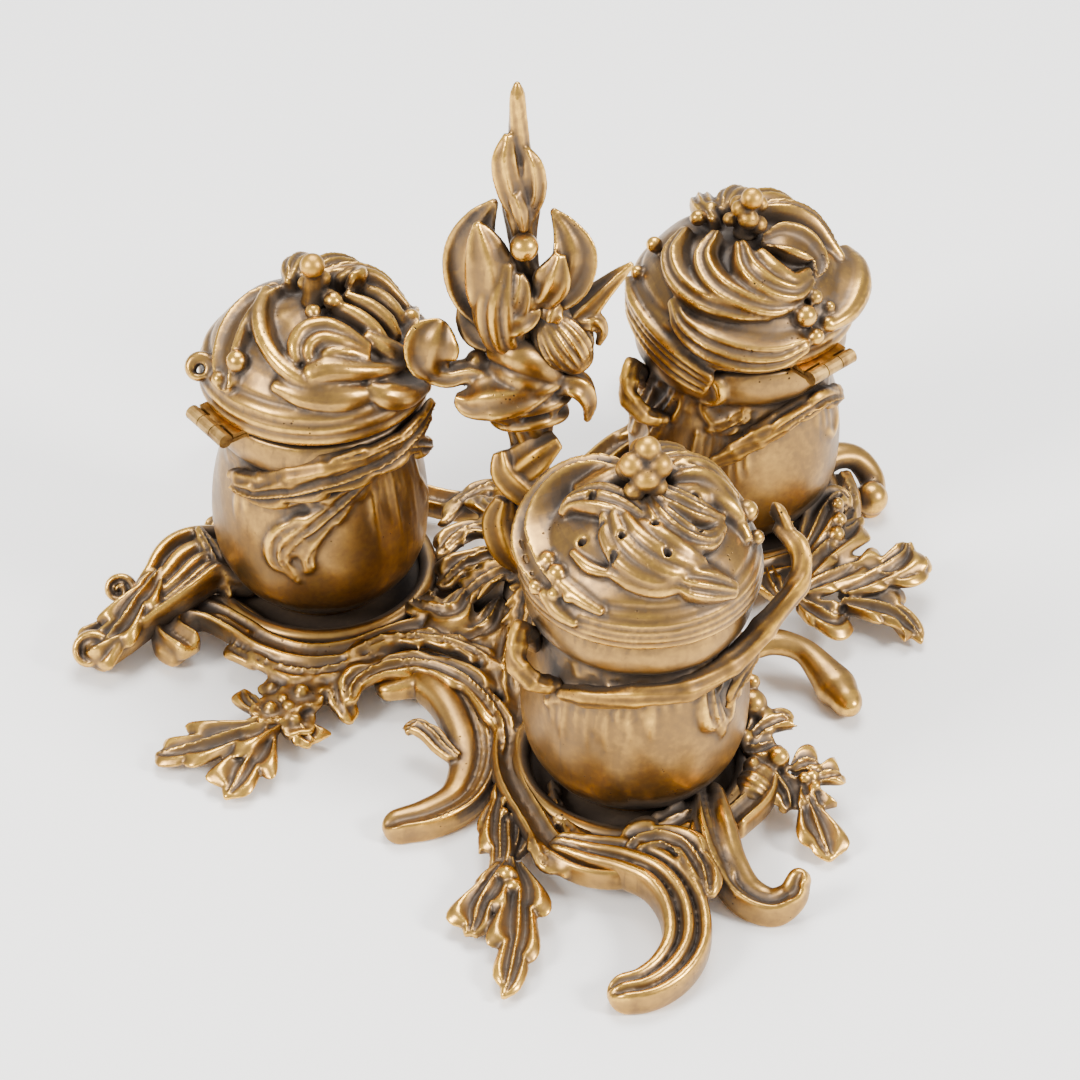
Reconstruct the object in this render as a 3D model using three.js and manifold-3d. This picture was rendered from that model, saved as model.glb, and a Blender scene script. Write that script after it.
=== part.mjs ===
// A desk inkstand of gilt bronze in the rococo manner. A trefoil stand on scroll feet carries two
// inkwells with hinged lids, a pounce pot with a pierced cover that lifts off, and a flowering stem.
// Millimetres, +Z up, +X to the right and -Y towards the writer. The table is at zero height.

import * as THREE from 'three';
import { mergeVertices } from 'three/addons/utils/BufferGeometryUtils.js';
import Module from 'manifold-3d';

const wasm = await Module();
wasm.setup();

// Driving sizes of the stand
const backPotSpacing = 72.3;      // hub axis to the axis of each inkwell
const frontPotSpacing = 68.8;     // hub axis to the axis of the pounce pot
const potAngles = { left: 151.5, right: 28.5, front: 270 };
const trayOuterRadius = 34;
const trayRimWidth = 5.5;
const trayWellRadius = trayOuterRadius - trayRimWidth;
const trayRimTop = 12.5;          // height of the tray's rim above the table
const trayFloorTop = 8;
const trayFloorThickness = 2.5;
const hubRadius = 23;
const railHalfWidth = 4.2;
const railHalfHeight = 4;

// Driving sizes of the feet and leaf sprays
const scrollHalfWidth = 6;
const scrollHalfHeight = 5;
const leafHalfWidth = 10;
const leafHalfThickness = 2.2;
const berryRadius = 3.2;
const knobRadius = 8;

// Driving sizes of the pots, their liners and handles
const bellyRadius = 31.5;
const potHeight = 70;
const potWall = 2.2;
const potFloor = 5;
const ledgeDepth = 3.2;           // how far the liner's ledge lies below the pot's mouth
const linerWall = 2;
const linerDepth = 46;
const linerFlange = 2.2;
const branchRadius = 3;
const branchReach = 12;           // how far a handle stands off the belly's widest radius
const screwRadius = 2.1;
const screwHeadRadius = 5;
const screwHeadHeight = 2.2;
const screwBite = 3;              // how far the screw runs up into the pot's floor

// Driving sizes of the lids and hinges
const lidRadius = 33.5;
const lidHeight = 25;
const lidWall = 2.4;
const crestRadius = 4;            // half width of the leaves that swirl over a lid
const finialHeight = 16;
const finialFootRadius = 4;
const spigotDepth = 3;
const spigotClearance = 0.5;
const pounceHoleRadius = 1.2;
const knuckleRadius = 2.2;
const hingeLength = 17;
const hingeLeafThickness = 1.2;
const hingePinRadius = 1;
const hingePinClearance = 0.08;
const hingeOffset = 3;            // from the lid's edge out to the hinge's axis
const hingeAngles = { left: 201, right: 296 };

// Driving sizes of the flowering stem
const stemHeight = 188;           // table to the tip of the top bud
const stemRadius = 7;
const stemLean = 7;               // how far the tip leans to the left of its foot
const stemLeanBack = 1.5;
const stemFootLeft = 6.5;         // the foot stands this far left of the middle of the pots
const stemFootBack = 5;
const stemLeafHalfWidth = 6;
const leafReach = 30;             // how far the longest leaf stands off the stem's axis
const blossomRadius = 8.5;
const rodRadius = 2.5;
const rodTop = 40;
const nutRadius = 6;
const nutHeight = 3;

// Shared clearances
const fitGap = 0.3;               // between castings that meet
const overrun = 4;                // how far a cutter passes the face that it cuts
const weld = 1e-4;                // points closer than this are one point

// Counts that set how fine the facets are
const roundSides = 20;
const smallSides = 12;
const sectionSides = 8;
const ballSides = 6;
const ballRings = 4;
const holeSides = 6;
const nutSides = 6;
const stepsPerStation = 1.25;

const rad = THREE.MathUtils.degToRad;
const upward = new THREE.Vector3(0, 0, 1);

const gilt = { color: '#a9803c', roughness: 0.42, metalness: 1 };
const darkGilt = { color: '#7d5e30', roughness: 0.5, metalness: 1 };
const brass = { color: '#9a7434', roughness: 0.4, metalness: 1 };
const glass = { color: '#c9d8d2', roughness: 0.08, metalness: 0 };

// Closed solids: tools that every piece below uses

function solid(geometry) {
  const bare = new THREE.BufferGeometry();
  bare.setAttribute('position', geometry.getAttribute('position'));
  if (geometry.getIndex()) bare.setIndex(geometry.getIndex());
  const merged = mergeVertices(bare, weld);
  const corner = merged.getAttribute('position').array;
  const index = merged.getIndex().array;
  const faces = [];
  let volume = 0;
  for (let i = 0; i < index.length; i += 3) {
    const [a, b, c] = [index[i], index[i + 1], index[i + 2]];
    if (a === b || b === c || c === a) continue;
    faces.push([a, b, c]);
    const [pa, pb, pc] = [a, b, c].map((k) => new THREE.Vector3().fromArray(corner, 3 * k));
    volume += pa.dot(pb.cross(pc));
  }
  const outward = volume > 0 ? faces : faces.map(([a, b, c]) => [a, c, b]);
  return new wasm.Manifold(new wasm.Mesh({
    numProp: 3,
    vertProperties: new Float32Array(corner),
    triVerts: new Uint32Array(outward.flat()),
  }));
}

function joined(solids) {
  return solids.reduce((sum, next) => sum.add(next));
}

function cutBy(body, cutters) {
  return cutters.reduce((left, cutter) => left.subtract(cutter), body);
}

// A turned solid about a vertical axis, from a profile of [radius, height] that starts and ends on the axis
function turned(profile, centre = { x: 0, y: 0 }, sides = roundSides) {
  const outline = profile.map(([radius, height]) => new THREE.Vector2(radius, height));
  const geometry = new THREE.LatheGeometry(outline, sides);
  geometry.rotateX(Math.PI / 2);
  geometry.translate(centre.x, centre.y, 0);
  return solid(geometry);
}

function rod(radius, low, high, centre, sides = smallSides) {
  return turned([[0, low], [radius, low], [radius, high], [0, high]], centre, sides);
}

function ball(centre, radius) {
  const geometry = new THREE.SphereGeometry(radius, ballSides, ballRings);
  geometry.rotateX(Math.PI / 2);
  geometry.translate(centre.x, centre.y, centre.z);
  return solid(geometry);
}

function block(low, high) {
  const size = new THREE.Vector3().subVectors(high, low);
  const geometry = new THREE.BoxGeometry(size.x, size.y, size.z);
  geometry.translate((low.x + high.x) / 2, (low.y + high.y) / 2, (low.z + high.z) / 2);
  return solid(geometry);
}

// Sections of a swept casting: points round the outline, as shares of its half width and half height
const roundShares = Array.from({ length: sectionSides }, (_, k) => {
  const turn = (2 * Math.PI * k) / sectionSides;
  return [Math.cos(turn), Math.sin(turn)];
});
const mouldedShares = [[-1, -1], [1, -1], [1, 0.45], [0.45, 0.6], [0, 1], [-0.45, 0.6], [-1, 0.45]];
const leafShares = [[-1, -0.4], [0, -0.7], [1, -0.4], [0.55, 0.35], [0, 1], [-0.55, 0.35]];
const lobeSection = [[-1, -0.8], [1, -0.8], [0.6, 0.5], [0, 1], [-0.6, 0.5]];

// Sweeps a section along a smooth curve through stations of { at, wide, tall }. The section's height
// leans towards "over", and both ends are closed by a fan.
function swept(stations, section, over = upward, extra = 0) {
  const steps = Math.round(stepsPerStation * stations.length);
  const curve = new THREE.CatmullRomCurve3(stations.map((station) => station.at), false, 'centripetal');
  const corners = [];
  const middles = [];
  for (let i = 0; i <= steps; i += 1) {
    const along = (i / steps) * (stations.length - 1);
    const before = Math.min(Math.floor(along), stations.length - 2);
    const part = along - before;
    const [from, to] = [stations[before], stations[before + 1]];
    const wide = from.wide + (to.wide - from.wide) * part + extra;
    const tall = from.tall + (to.tall - from.tall) * part + extra;
    const at = curve.getPoint(i / steps);
    const tangent = curve.getTangent(i / steps);
    const side = new THREE.Vector3().crossVectors(over, tangent).normalize();
    const rise = new THREE.Vector3().crossVectors(tangent, side);
    middles.push(at);
    for (const [across, up] of section) {
      corners.push(at.clone().addScaledVector(side, across * wide).addScaledVector(rise, up * tall));
    }
  }
  const count = section.length;
  const faces = [];
  for (let i = 0; i < steps; i += 1) {
    for (let k = 0; k < count; k += 1) {
      const [a, b] = [i * count + k, i * count + ((k + 1) % count)];
      faces.push(a, b, a + count, b, b + count, a + count);
    }
  }
  const [first, last] = [corners.length, corners.length + 1];
  const end = steps * count;
  for (let k = 0; k < count; k += 1) {
    const next = (k + 1) % count;
    faces.push(first, next, k, last, end + k, end + next);
  }
  corners.push(middles[0], middles[steps]);
  const geometry = new THREE.BufferGeometry().setFromPoints(corners);
  geometry.setIndex(faces);
  return solid(geometry);
}

function polar(centre, degrees, radius, height) {
  const turn = rad(degrees);
  return new THREE.Vector3(
    centre.x + radius * Math.cos(turn),
    centre.y + radius * Math.sin(turn),
    height,
  );
}

// Places of the middle, the stem's foot and the three pots
const hub = new THREE.Vector3();
const stemFoot = new THREE.Vector3(-stemFootLeft, stemFootBack, 0);
const pots = {
  left: polar(hub, potAngles.left, backPotSpacing, 0),
  right: polar(hub, potAngles.right, backPotSpacing, 0),
  front: polar(hub, potAngles.front, frontPotSpacing, 0),
};

// Stations of a casting beside a pot. Each row of shares holds x and y in tray radii from the pot's
// axis, the height in rim heights, then the half width and half height in those of the casting.
function beside(centre, rowShares, halfWidth, halfHeight, reach = trayOuterRadius) {
  return rowShares.map(([x, y, z, wide, tall]) => ({
    at: new THREE.Vector3(centre.x + x * reach, centre.y + y * reach, z * trayRimTop),
    wide: wide * halfWidth,
    tall: tall * halfHeight,
  }));
}

// The stand: three round trays and a hub, tied by moulded rails that run round them

const trayUnderside = trayFloorTop - trayFloorThickness;

function tray(centre) {
  return turned([
    [0, trayUnderside],
    [trayOuterRadius, trayUnderside],
    [trayOuterRadius, trayRimTop - trayRimWidth / 2],
    [trayOuterRadius - trayRimWidth / 4, trayRimTop],
    [trayWellRadius + trayRimWidth / 3, trayRimTop],
    [trayWellRadius, trayFloorTop + trayRimWidth / 4],
    [trayWellRadius, trayFloorTop],
    [0, trayFloorTop],
  ], centre);
}

function well(centre) {
  return rod(trayWellRadius, trayFloorTop, trayRimTop + overrun, centre, roundSides);
}

// A rail's route is [pot or hub, angle, radius share]: round a pot the share is of the tray's radius,
// round the hub it is of the back pots' spacing
const railShares = {
  leftFront: [
    ['left', 207, 1.5], ['left', 197, 1.52], ['left', 190, 1.36], ['left', 196, 1.16],
    ['left', 213, 1.07], ['left', 232, 1.13], ['left', 250, 1.18], ['left', 268, 1.16],
    ['left', 284, 1.12], ['left', 299, 1.2], ['hub', 203, 0.45],
    ['hub', 226, 0.5], ['front', 132, 1.1], ['front', 155, 1.04], ['front', 180, 1.04],
    ['front', 204, 1.1], ['front', 221, 1.25], ['front', 236, 1.34], ['front', 248, 1.32],
    ['front', 260, 1.2],
  ],
  frontRight: [
    ['front', 300, 1.1], ['front', 322, 1.12], ['front', 345, 1.06], ['front', 8, 1.04],
    ['front', 32, 1.08], ['hub', 316, 0.5], ['hub', 338, 0.47], ['right', 262, 1.12],
    ['right', 285, 1.08], ['right', 310, 1.08], ['right', 336, 1.05], ['right', 358, 1.02],
  ],
  back: [
    ['right', 62, 1.08], ['right', 92, 1.12], ['right', 124, 1.2], ['hub', 74, 0.74],
    ['hub', 90, 0.76], ['hub', 106, 0.74], ['left', 56, 1.2], ['left', 88, 1.12],
    ['left', 118, 1.08],
  ],
};

function rail(name, extra = 0) {
  const middle = trayUnderside + railHalfHeight;
  const stations = railShares[name].map(([about, degrees, share]) => {
    const centre = about === 'hub' ? hub : pots[about];
    const radius = share * (about === 'hub' ? backPotSpacing : trayOuterRadius);
    return { at: polar(centre, degrees, radius, middle), wide: railHalfWidth, tall: railHalfHeight };
  });
  return swept(stations, mouldedShares, upward, extra);
}

const bridgeWidthShare = 0.75;     // of the hub's radius

function bridge(centre) {
  const middle = (trayUnderside + trayFloorTop) / 2;
  const stations = [stemFoot, centre].map((end) => ({
    at: new THREE.Vector3(end.x, end.y, middle),
    wide: hubRadius * bridgeWidthShare,
    tall: trayFloorThickness / 2,
  }));
  return swept(stations, roundShares);
}

const hubTop = trayRimTop;
const rodHole = rod(rodRadius + fitGap, -overrun, hubTop + overrun, stemFoot);
const trayHoles = Object.values(pots).map((centre) => (
  rod(screwRadius + fitGap, -overrun, trayFloorTop + overrun, centre)
));
const standBody = joined([
  turned([
    [0, trayUnderside],
    [hubRadius, trayUnderside],
    [hubRadius, trayFloorTop],
    [hubRadius / 2, hubTop],
    [0, hubTop],
  ], stemFoot),
  ...Object.values(pots).map(bridge),
  ...Object.values(pots).map(tray),
  ...Object.keys(railShares).map((name) => rail(name)),
]);
const stand = cutBy(standBody, [...Object.values(pots).map(well), rodHole, ...trayHoles]);

// What a foot or spray is cut back by where it meets the stand
const groundCutter = block(
  new THREE.Vector3(-4 * backPotSpacing, -4 * backPotSpacing, -4 * trayRimTop),
  new THREE.Vector3(4 * backPotSpacing, 4 * backPotSpacing, 0),
);
const standSeat = joined([
  ...Object.values(pots).map((centre) => (
    rod(trayOuterRadius + fitGap, -overrun, 3 * trayRimTop, centre, 2 * roundSides)
  )),
  ...Object.keys(railShares).map((name) => rail(name, fitGap)),
]);

function seated(casting) {
  return cutBy(casting, [standSeat, groundCutter]);
}

// Feet: moulded scrolls that carry the stand, each a row of stations from the stand out to the table
const footShares = {
  foot_left_scroll: { about: 'left', rows: [
    [0.169, -1.615, 0.7, 0.7, 0.6], [0.449, -1.615, 0.78, 1.1, 0.85], [0.629, -1.865, 0.75, 1.25, 1],
    [0.699, -2.255, 0.58, 1.3, 1], [0.639, -2.635, 0.4, 1.2, 0.95], [0.429, -2.965, 0.3, 1.05, 0.9],
    [0.129, -3.095, 0.28, 0.95, 0.9], [-0.111, -3.115, 0.28, 0.8, 0.85],
  ] },
  foot_front_scroll: { about: 'front', rows: [
    [-0.4, -1.02, 0.8, 0.5, 0.7], [-0.18, -1.3, 0.92, 0.95, 1], [-0.04, -1.52, 0.85, 1.1, 1.05],
    [-0.05, -1.82, 0.66, 1.15, 1.1], [-0.13, -2.1, 0.46, 1.1, 1.05], [-0.3, -2.31, 0.36, 1.0, 1],
    [-0.5, -2.4, 0.3, 0.9, 0.9], [-0.72, -2.4, 0.28, 0.7, 0.85],
  ] },
  foot_front_right_scroll: { about: 'front', rows: [
    [0.42, -0.72, 1.0, 0.8, 0.9], [0.37, -1.06, 0.95, 0.95, 1], [0.36, -1.36, 0.7, 0.95, 0.95],
    [0.44, -1.6, 0.38, 0.9, 0.9], [0.6, -1.76, 0.3, 0.85, 0.9], [0.76, -1.78, 0.55, 0.7, 0.7],
    [0.83, -1.74, 0.9, 0.55, 0.5],
  ] },
  foot_right_knob: { about: 'right', rows: [
    [-0.919, -1.865, 0.7, 0.9, 0.8], [-0.589, -2.035, 0.95, 0.85, 0.75],
    [-0.319, -2.075, 1.05, 0.75, 0.7], [-0.089, -2.195, 0.9, 0.65, 0.7],
    [0.051, -2.435, 0.55, 0.75, 0.85], [0.101, -2.635, 0.3, 0.85, 1],
  ] },
  foot_back_right_scroll: { about: 'right', rows: [
    [0.75, 0.1, 0.8, 0.9, 0.9], [1.04, 0.18, 1.05, 0.8, 0.8], [1.24, 0.14, 0.95, 0.7, 0.75],
    [1.35, -0.02, 0.5, 0.65, 0.9], [1.28, -0.2, 0.26, 0.65, 1],
  ] },
  foot_back_scroll: { about: 'right', rows: [
    [-0.05, 0.8, 0.8, 0.8, 0.8], [0.15, 1.3, 0.95, 0.95, 0.9], [0.12, 1.72, 0.75, 1, 1],
    [0.38, 1.94, 0.34, 0.95, 0.95], [0.68, 1.9, 0.28, 0.75, 0.85],
  ] },
  foot_back_left_scroll: { about: 'left', rows: [
    [0.05, 0.8, 0.8, 0.8, 0.8], [-0.15, 1.3, 0.95, 0.95, 0.9], [-0.12, 1.72, 0.75, 1, 1],
    [0.14, 1.98, 0.34, 0.95, 0.95], [0.44, 1.96, 0.28, 0.75, 0.85],
  ] },
};

// Where two feet run side by side, the first is cut clear of the second
const footNeighbours = { foot_front_right_scroll: 'foot_front_scroll' };

function footStations(name) {
  const { about, rows } = footShares[name];
  return beside(pots[about], rows, scrollHalfWidth, scrollHalfHeight);
}

function scrollFoot(name) {
  const casting = seated(swept(footStations(name), mouldedShares));
  const neighbour = footNeighbours[name];
  if (!neighbour) return casting;
  return cutBy(casting, [swept(footStations(neighbour), mouldedShares, upward, fitGap)]);
}

// The left foot is a fluted shell that narrows to a knob, with a smaller knob on its back
const shellShares = [
  [-0.7, 0.18, 1.0, 2.4, 0.9], [-1.06, 0.13, 1.35, 2.2, 1.05], [-1.34, -0.08, 1.25, 1.7, 1.0],
  [-1.6, -0.24, 1.0, 1.25, 0.95], [-1.86, -0.36, 0.72, 1.05, 0.95], [-2.1, -0.42, 0.55, 1.15, 1.1],
];
const knobShares = { x: -2.13, y: -0.42, size: 1, rise: 0.85 };
const topKnobShares = { x: -1.72, y: 0.02, size: 0.75, rise: 1.48 };

function shellFoot() {
  const stations = beside(pots.left, shellShares, scrollHalfWidth, scrollHalfHeight);
  const knobs = [knobShares, topKnobShares].map(({ x, y, size, rise }) => ball(new THREE.Vector3(
    pots.left.x + x * trayOuterRadius,
    pots.left.y + y * trayOuterRadius,
    rise * knobRadius,
  ), size * knobRadius));
  return seated(joined([swept(stations, mouldedShares), ...knobs]));
}

// Leaf sprays that lie out over the table between the feet: a rib of lobed leaf and round berries
const sprayShares = {
  spray_left: { about: 'left', leaf: [
    [-0.2, -1.2, 0.75, 0.5, 1], [-0.36, -1.5, 0.65, 0.9, 1.1], [-0.62, -1.64, 0.5, 0.8, 1],
    [-0.92, -1.8, 0.42, 1.05, 1], [-1.14, -1.84, 0.34, 0.55, 0.9], [-1.34, -1.78, 0.3, 0.7, 0.8],
    [-1.8, -1.7, 0.22, 0.12, 0.4],
  ], side: [
    [-0.85, -1.76, 0.4, 0.55, 0.9], [-1.08, -2.0, 0.3, 0.75, 0.9], [-1.33, -2.3, 0.2, 0.12, 0.4],
  ], berries: [[-0.5, -1.5, 0.8], [-0.66, -1.62, 0.75], [-0.52, -1.7, 0.75], [-0.74, -1.62, 0.7]] },
  spray_front_left: { about: 'front', leaf: [
    [-0.98, -0.1, 0.6, 0.4, 1], [-1.18, -0.5, 0.6, 0.7, 1.1], [-1.25, -0.85, 0.5, 0.85, 1.1],
    [-1.32, -1.12, 0.4, 0.5, 1], [-1.42, -1.4, 0.36, 1.15, 1], [-1.5, -1.68, 0.28, 0.6, 0.8],
    [-1.66, -2.0, 0.22, 0.12, 0.4],
  ], side: [
    [-1.36, -1.1, 0.4, 0.4, 0.9], [-1.66, -1.2, 0.3, 0.6, 0.9], [-1.84, -1.36, 0.22, 0.12, 0.4],
  ], berries: [[-1.22, -0.95, 0.8], [-1.35, -1.05, 0.75]] },
  spray_front_right: { about: 'front', leaf: [
    [1.02, -0.16, 0.95, 0.7, 1], [1.1, -0.3, 0.85, 0.9, 1.1], [1.22, -0.5, 0.6, 0.9, 1.1],
    [1.26, -0.76, 0.4, 0.55, 0.9], [1.27, -1.0, 0.3, 0.75, 0.9], [1.3, -1.28, 0.22, 0.12, 0.4],
  ], side: [
    [1.1, -0.36, 0.75, 0.4, 0.9], [1.36, -0.46, 0.5, 0.65, 0.9], [1.56, -0.5, 0.36, 0.15, 0.5],
  ], berries: [[1.16, -0.18, 1.05], [1.26, -0.28, 0.95], [1.1, -0.36, 1.05], [1.26, -0.44, 0.85]] },
  spray_right: { about: 'right', leaf: [
    [0.62, -0.86, 1.0, 0.5, 1], [0.56, -1.3, 0.85, 1.15, 1.2], [0.72, -1.52, 0.7, 0.9, 1],
    [0.96, -1.42, 0.65, 0.95, 1], [1.12, -1.4, 0.6, 0.6, 0.9], [1.2, -1.55, 0.5, 0.7, 0.8],
    [1.08, -1.96, 0.25, 0.15, 0.4],
  ], side: [
    [0.9, -1.4, 0.65, 0.4, 0.9], [1.04, -1.16, 0.75, 0.6, 0.9], [1.2, -1.12, 0.8, 0.35, 0.7],
    [1.26, -1.28, 0.7, 0.2, 0.5],
  ], berries: [[0.72, -1.3, 1.0]] },
};

function spray(name) {
  const { about, leaf, side, berries } = sprayShares[name];
  const centre = pots[about];
  const stem = beside(centre, leaf, leafHalfWidth, leafHalfThickness);
  const branch = beside(centre, side, leafHalfWidth, leafHalfThickness);
  const fruit = berries.map(([x, y, z]) => ball(
    new THREE.Vector3(centre.x + x * trayOuterRadius, centre.y + y * trayOuterRadius, z * trayRimTop),
    berryRadius,
  ));
  return seated(joined([
    swept(stem, leafShares),
    swept(branch, leafShares),
    ...fruit,
  ]));
}

// Pots: turned round bellies with a waisted neck and a bowed collar. Heights are from the pot's foot.
const neckShare = 0.86;
const mouthShare = 0.95;
const potOuterShares = [
  [0.64, 0], [0.66, 0.045], [0.83, 0.1], [0.95, 0.21], [1, 0.35], [0.985, 0.49], [0.94, 0.61],
  [0.865, 0.75], [neckShare, 0.81], [0.95, 0.855], [0.985, 0.91], [mouthShare, 1],
];
const hollowShares = [[0.6, 0.07], [0.95, 0.21], [1, 0.35], [0.94, 0.61], [neckShare, 0.81]];
const mouthRadius = mouthShare * bellyRadius - potWall;
const neckInnerRadius = neckShare * bellyRadius - potWall;
const ledgeHeight = potHeight - ledgeDepth;

function potOutline(grow = 0) {
  return potOuterShares.map(([radius, height]) => [radius * bellyRadius + grow, height * potHeight]);
}

function potBody(hasLedge) {
  const hollow = hollowShares.map(([radius, height]) => (
    [radius * bellyRadius - potWall, height * potHeight]
  ));
  const mouth = hasLedge
    ? [[mouthRadius, potHeight], [mouthRadius, ledgeHeight], [neckInnerRadius, ledgeHeight]]
    : [[mouthRadius, potHeight], [mouthRadius, ledgeHeight]];
  const profile = [
    [0, 0],
    ...potOutline(),
    ...mouth,
    ...hollow.reverse(),
    [0, potFloor],
  ];
  const body = turned(profile);
  return cutBy(body, [rod(screwRadius + fitGap, -overrun, screwBite + fitGap)]);
}

const potSeat = turned([[0, 0], ...potOutline(fitGap), [0, potHeight]], hub, 2 * roundSides);

// The liner is a glass cup that hangs by its flange on the pot's ledge
const linerFootShare = 0.86;      // of its outer radius
const linerWellShare = 0.8;

function liner() {
  const outer = neckInnerRadius - fitGap;
  const flangeRadius = mouthRadius - fitGap;
  const base = ledgeHeight - linerDepth;
  return turned([
    [0, base],
    [outer * linerFootShare, base],
    [outer, base + linerWall * 2],
    [outer, ledgeHeight],
    [flangeRadius, ledgeHeight],
    [flangeRadius, ledgeHeight + linerFlange],
    [outer - linerWall, ledgeHeight + linerFlange],
    [outer - linerWall, base + linerWall * 2],
    [outer * linerWellShare, base + linerWall],
    [0, base + linerWall],
  ]);
}

// The screw that holds a pot to its tray, its head under the tray's floor
function potScrew() {
  return turned([
    [0, -trayFloorThickness - screwHeadHeight],
    [screwHeadRadius, -trayFloorThickness - screwHeadHeight],
    [screwHeadRadius, -trayFloorThickness],
    [screwRadius, -trayFloorThickness],
    [screwRadius, screwBite],
    [0, screwBite],
  ], hub, smallSides);
}

// Handles: a twig that grows out of the shoulder and climbs at the right, and a loop at the left.
// Rows are the angle, the reach past the belly as a share, the height and the thickness as shares.
const bandShares = [
  [212, -0.1, 0.66, 0.8], [232, -0.13, 0.71, 1], [255, -0.16, 0.745, 1], [276, -0.15, 0.745, 1],
  [296, -0.08, 0.77, 1.05],
];
const twigShares = {
  left: [
    [200, -0.2, 0.72, 0.7], [212, -0.2, 0.75, 0.9], [227, -0.2, 0.79, 1], [243, -0.12, 0.86, 1.05],
    [259, -0.05, 0.92, 1.05], [277, -0.03, 0.945, 1.05], [295, -0.03, 0.94, 1],
    [310, 0, 0.945, 1], [324, 0.12, 0.965, 0.8],
  ],
  right: [
    [236, -0.08, 0.53, 0.6], [246, -0.08, 0.59, 0.85], [258, -0.12, 0.66, 1],
    [274, -0.16, 0.73, 1.05], [294, -0.2, 0.785, 1.05], [310, -0.16, 0.76, 1],
    [325, -0.1, 0.7, 0.8],
  ],
  front: [
    ...bandShares, [314, 0.08, 0.81, 1.1], [328, 0.5, 0.91, 1.05], [337, 0.95, 1.03, 0.95],
    [342, 0.88, 1.13, 0.85], [349, 0.46, 1.18, 0.7],
  ],
};
const loopShares = [
  [207, -0.14, 0.67, 0.8], [202, 0.35, 0.71, 0.9], [196, 0.6, 0.8, 0.9], [190, 0.35, 0.885, 0.85],
  [184, -0.1, 0.8, 0.8], [181, -0.2, 0.72, 0.7],
];
const loopedPots = ['right', 'front'];

function twig(rowShares) {
  const stations = rowShares.map(([degrees, out, height, thick]) => ({
    at: polar(hub, degrees, bellyRadius + out * branchReach, height * potHeight),
    wide: thick * branchRadius,
    tall: thick * branchRadius,
  }));
  return cutBy(swept(stations, roundShares), [potSeat]);
}

// Lids: a low dome with a stack of mouldings at its edge, open beneath, and leaves that swirl over it.
// Heights are from the lid's underside.
const lidOuterShares = [
  [0.96, 0], [1, 0.06], [1, 0.14], [0.95, 0.19], [0.985, 0.27], [0.985, 0.37], [0.91, 0.45],
  [0.84, 0.6], [0.7, 0.76], [0.46, 0.92],
];
const crownShare = 1.02;          // height of the flat crown under the finial
const hollowFromShare = 0.4;      // the hollow follows the dome above this height
const crownHeight = crownShare * lidHeight;
const lidInner = lidOuterShares
  .filter(([, height]) => height > hollowFromShare)
  .map(([radius, height]) => [radius * lidRadius - lidWall, height * lidHeight - lidWall]);
const spigotOuter = mouthRadius - spigotClearance;
const spigotInner = spigotOuter - lidWall;

function lidShell(hasSpigot) {
  const rim = hasSpigot
    ? [[spigotInner, -spigotDepth], [spigotOuter, -spigotDepth], [spigotOuter, 0]]
    : [[spigotInner, 0]];
  return turned([
    [0, crownHeight - lidWall],
    ...lidInner.toReversed(),
    ...rim,
    ...lidOuterShares.map(([radius, height]) => [radius * lidRadius, height * lidHeight]),
    [finialFootRadius, crownHeight],
    [0, crownHeight],
  ]);
}

// The dome's height at a radius, both as shares. It springs from the rim's upper edge.
const domeFromShare = 0.37;
const domeShares = [
  ...lidOuterShares.filter(([, height]) => height >= domeFromShare),
  [0, crownShare],
];

function domeHeight(share) {
  const k = Math.max(1, domeShares.findIndex(([radius]) => radius <= share));
  const [[outer, low], [inner, high]] = [domeShares[k - 1], domeShares[k]];
  return (low + ((high - low) * (outer - share)) / (outer - inner)) * lidHeight;
}

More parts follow.
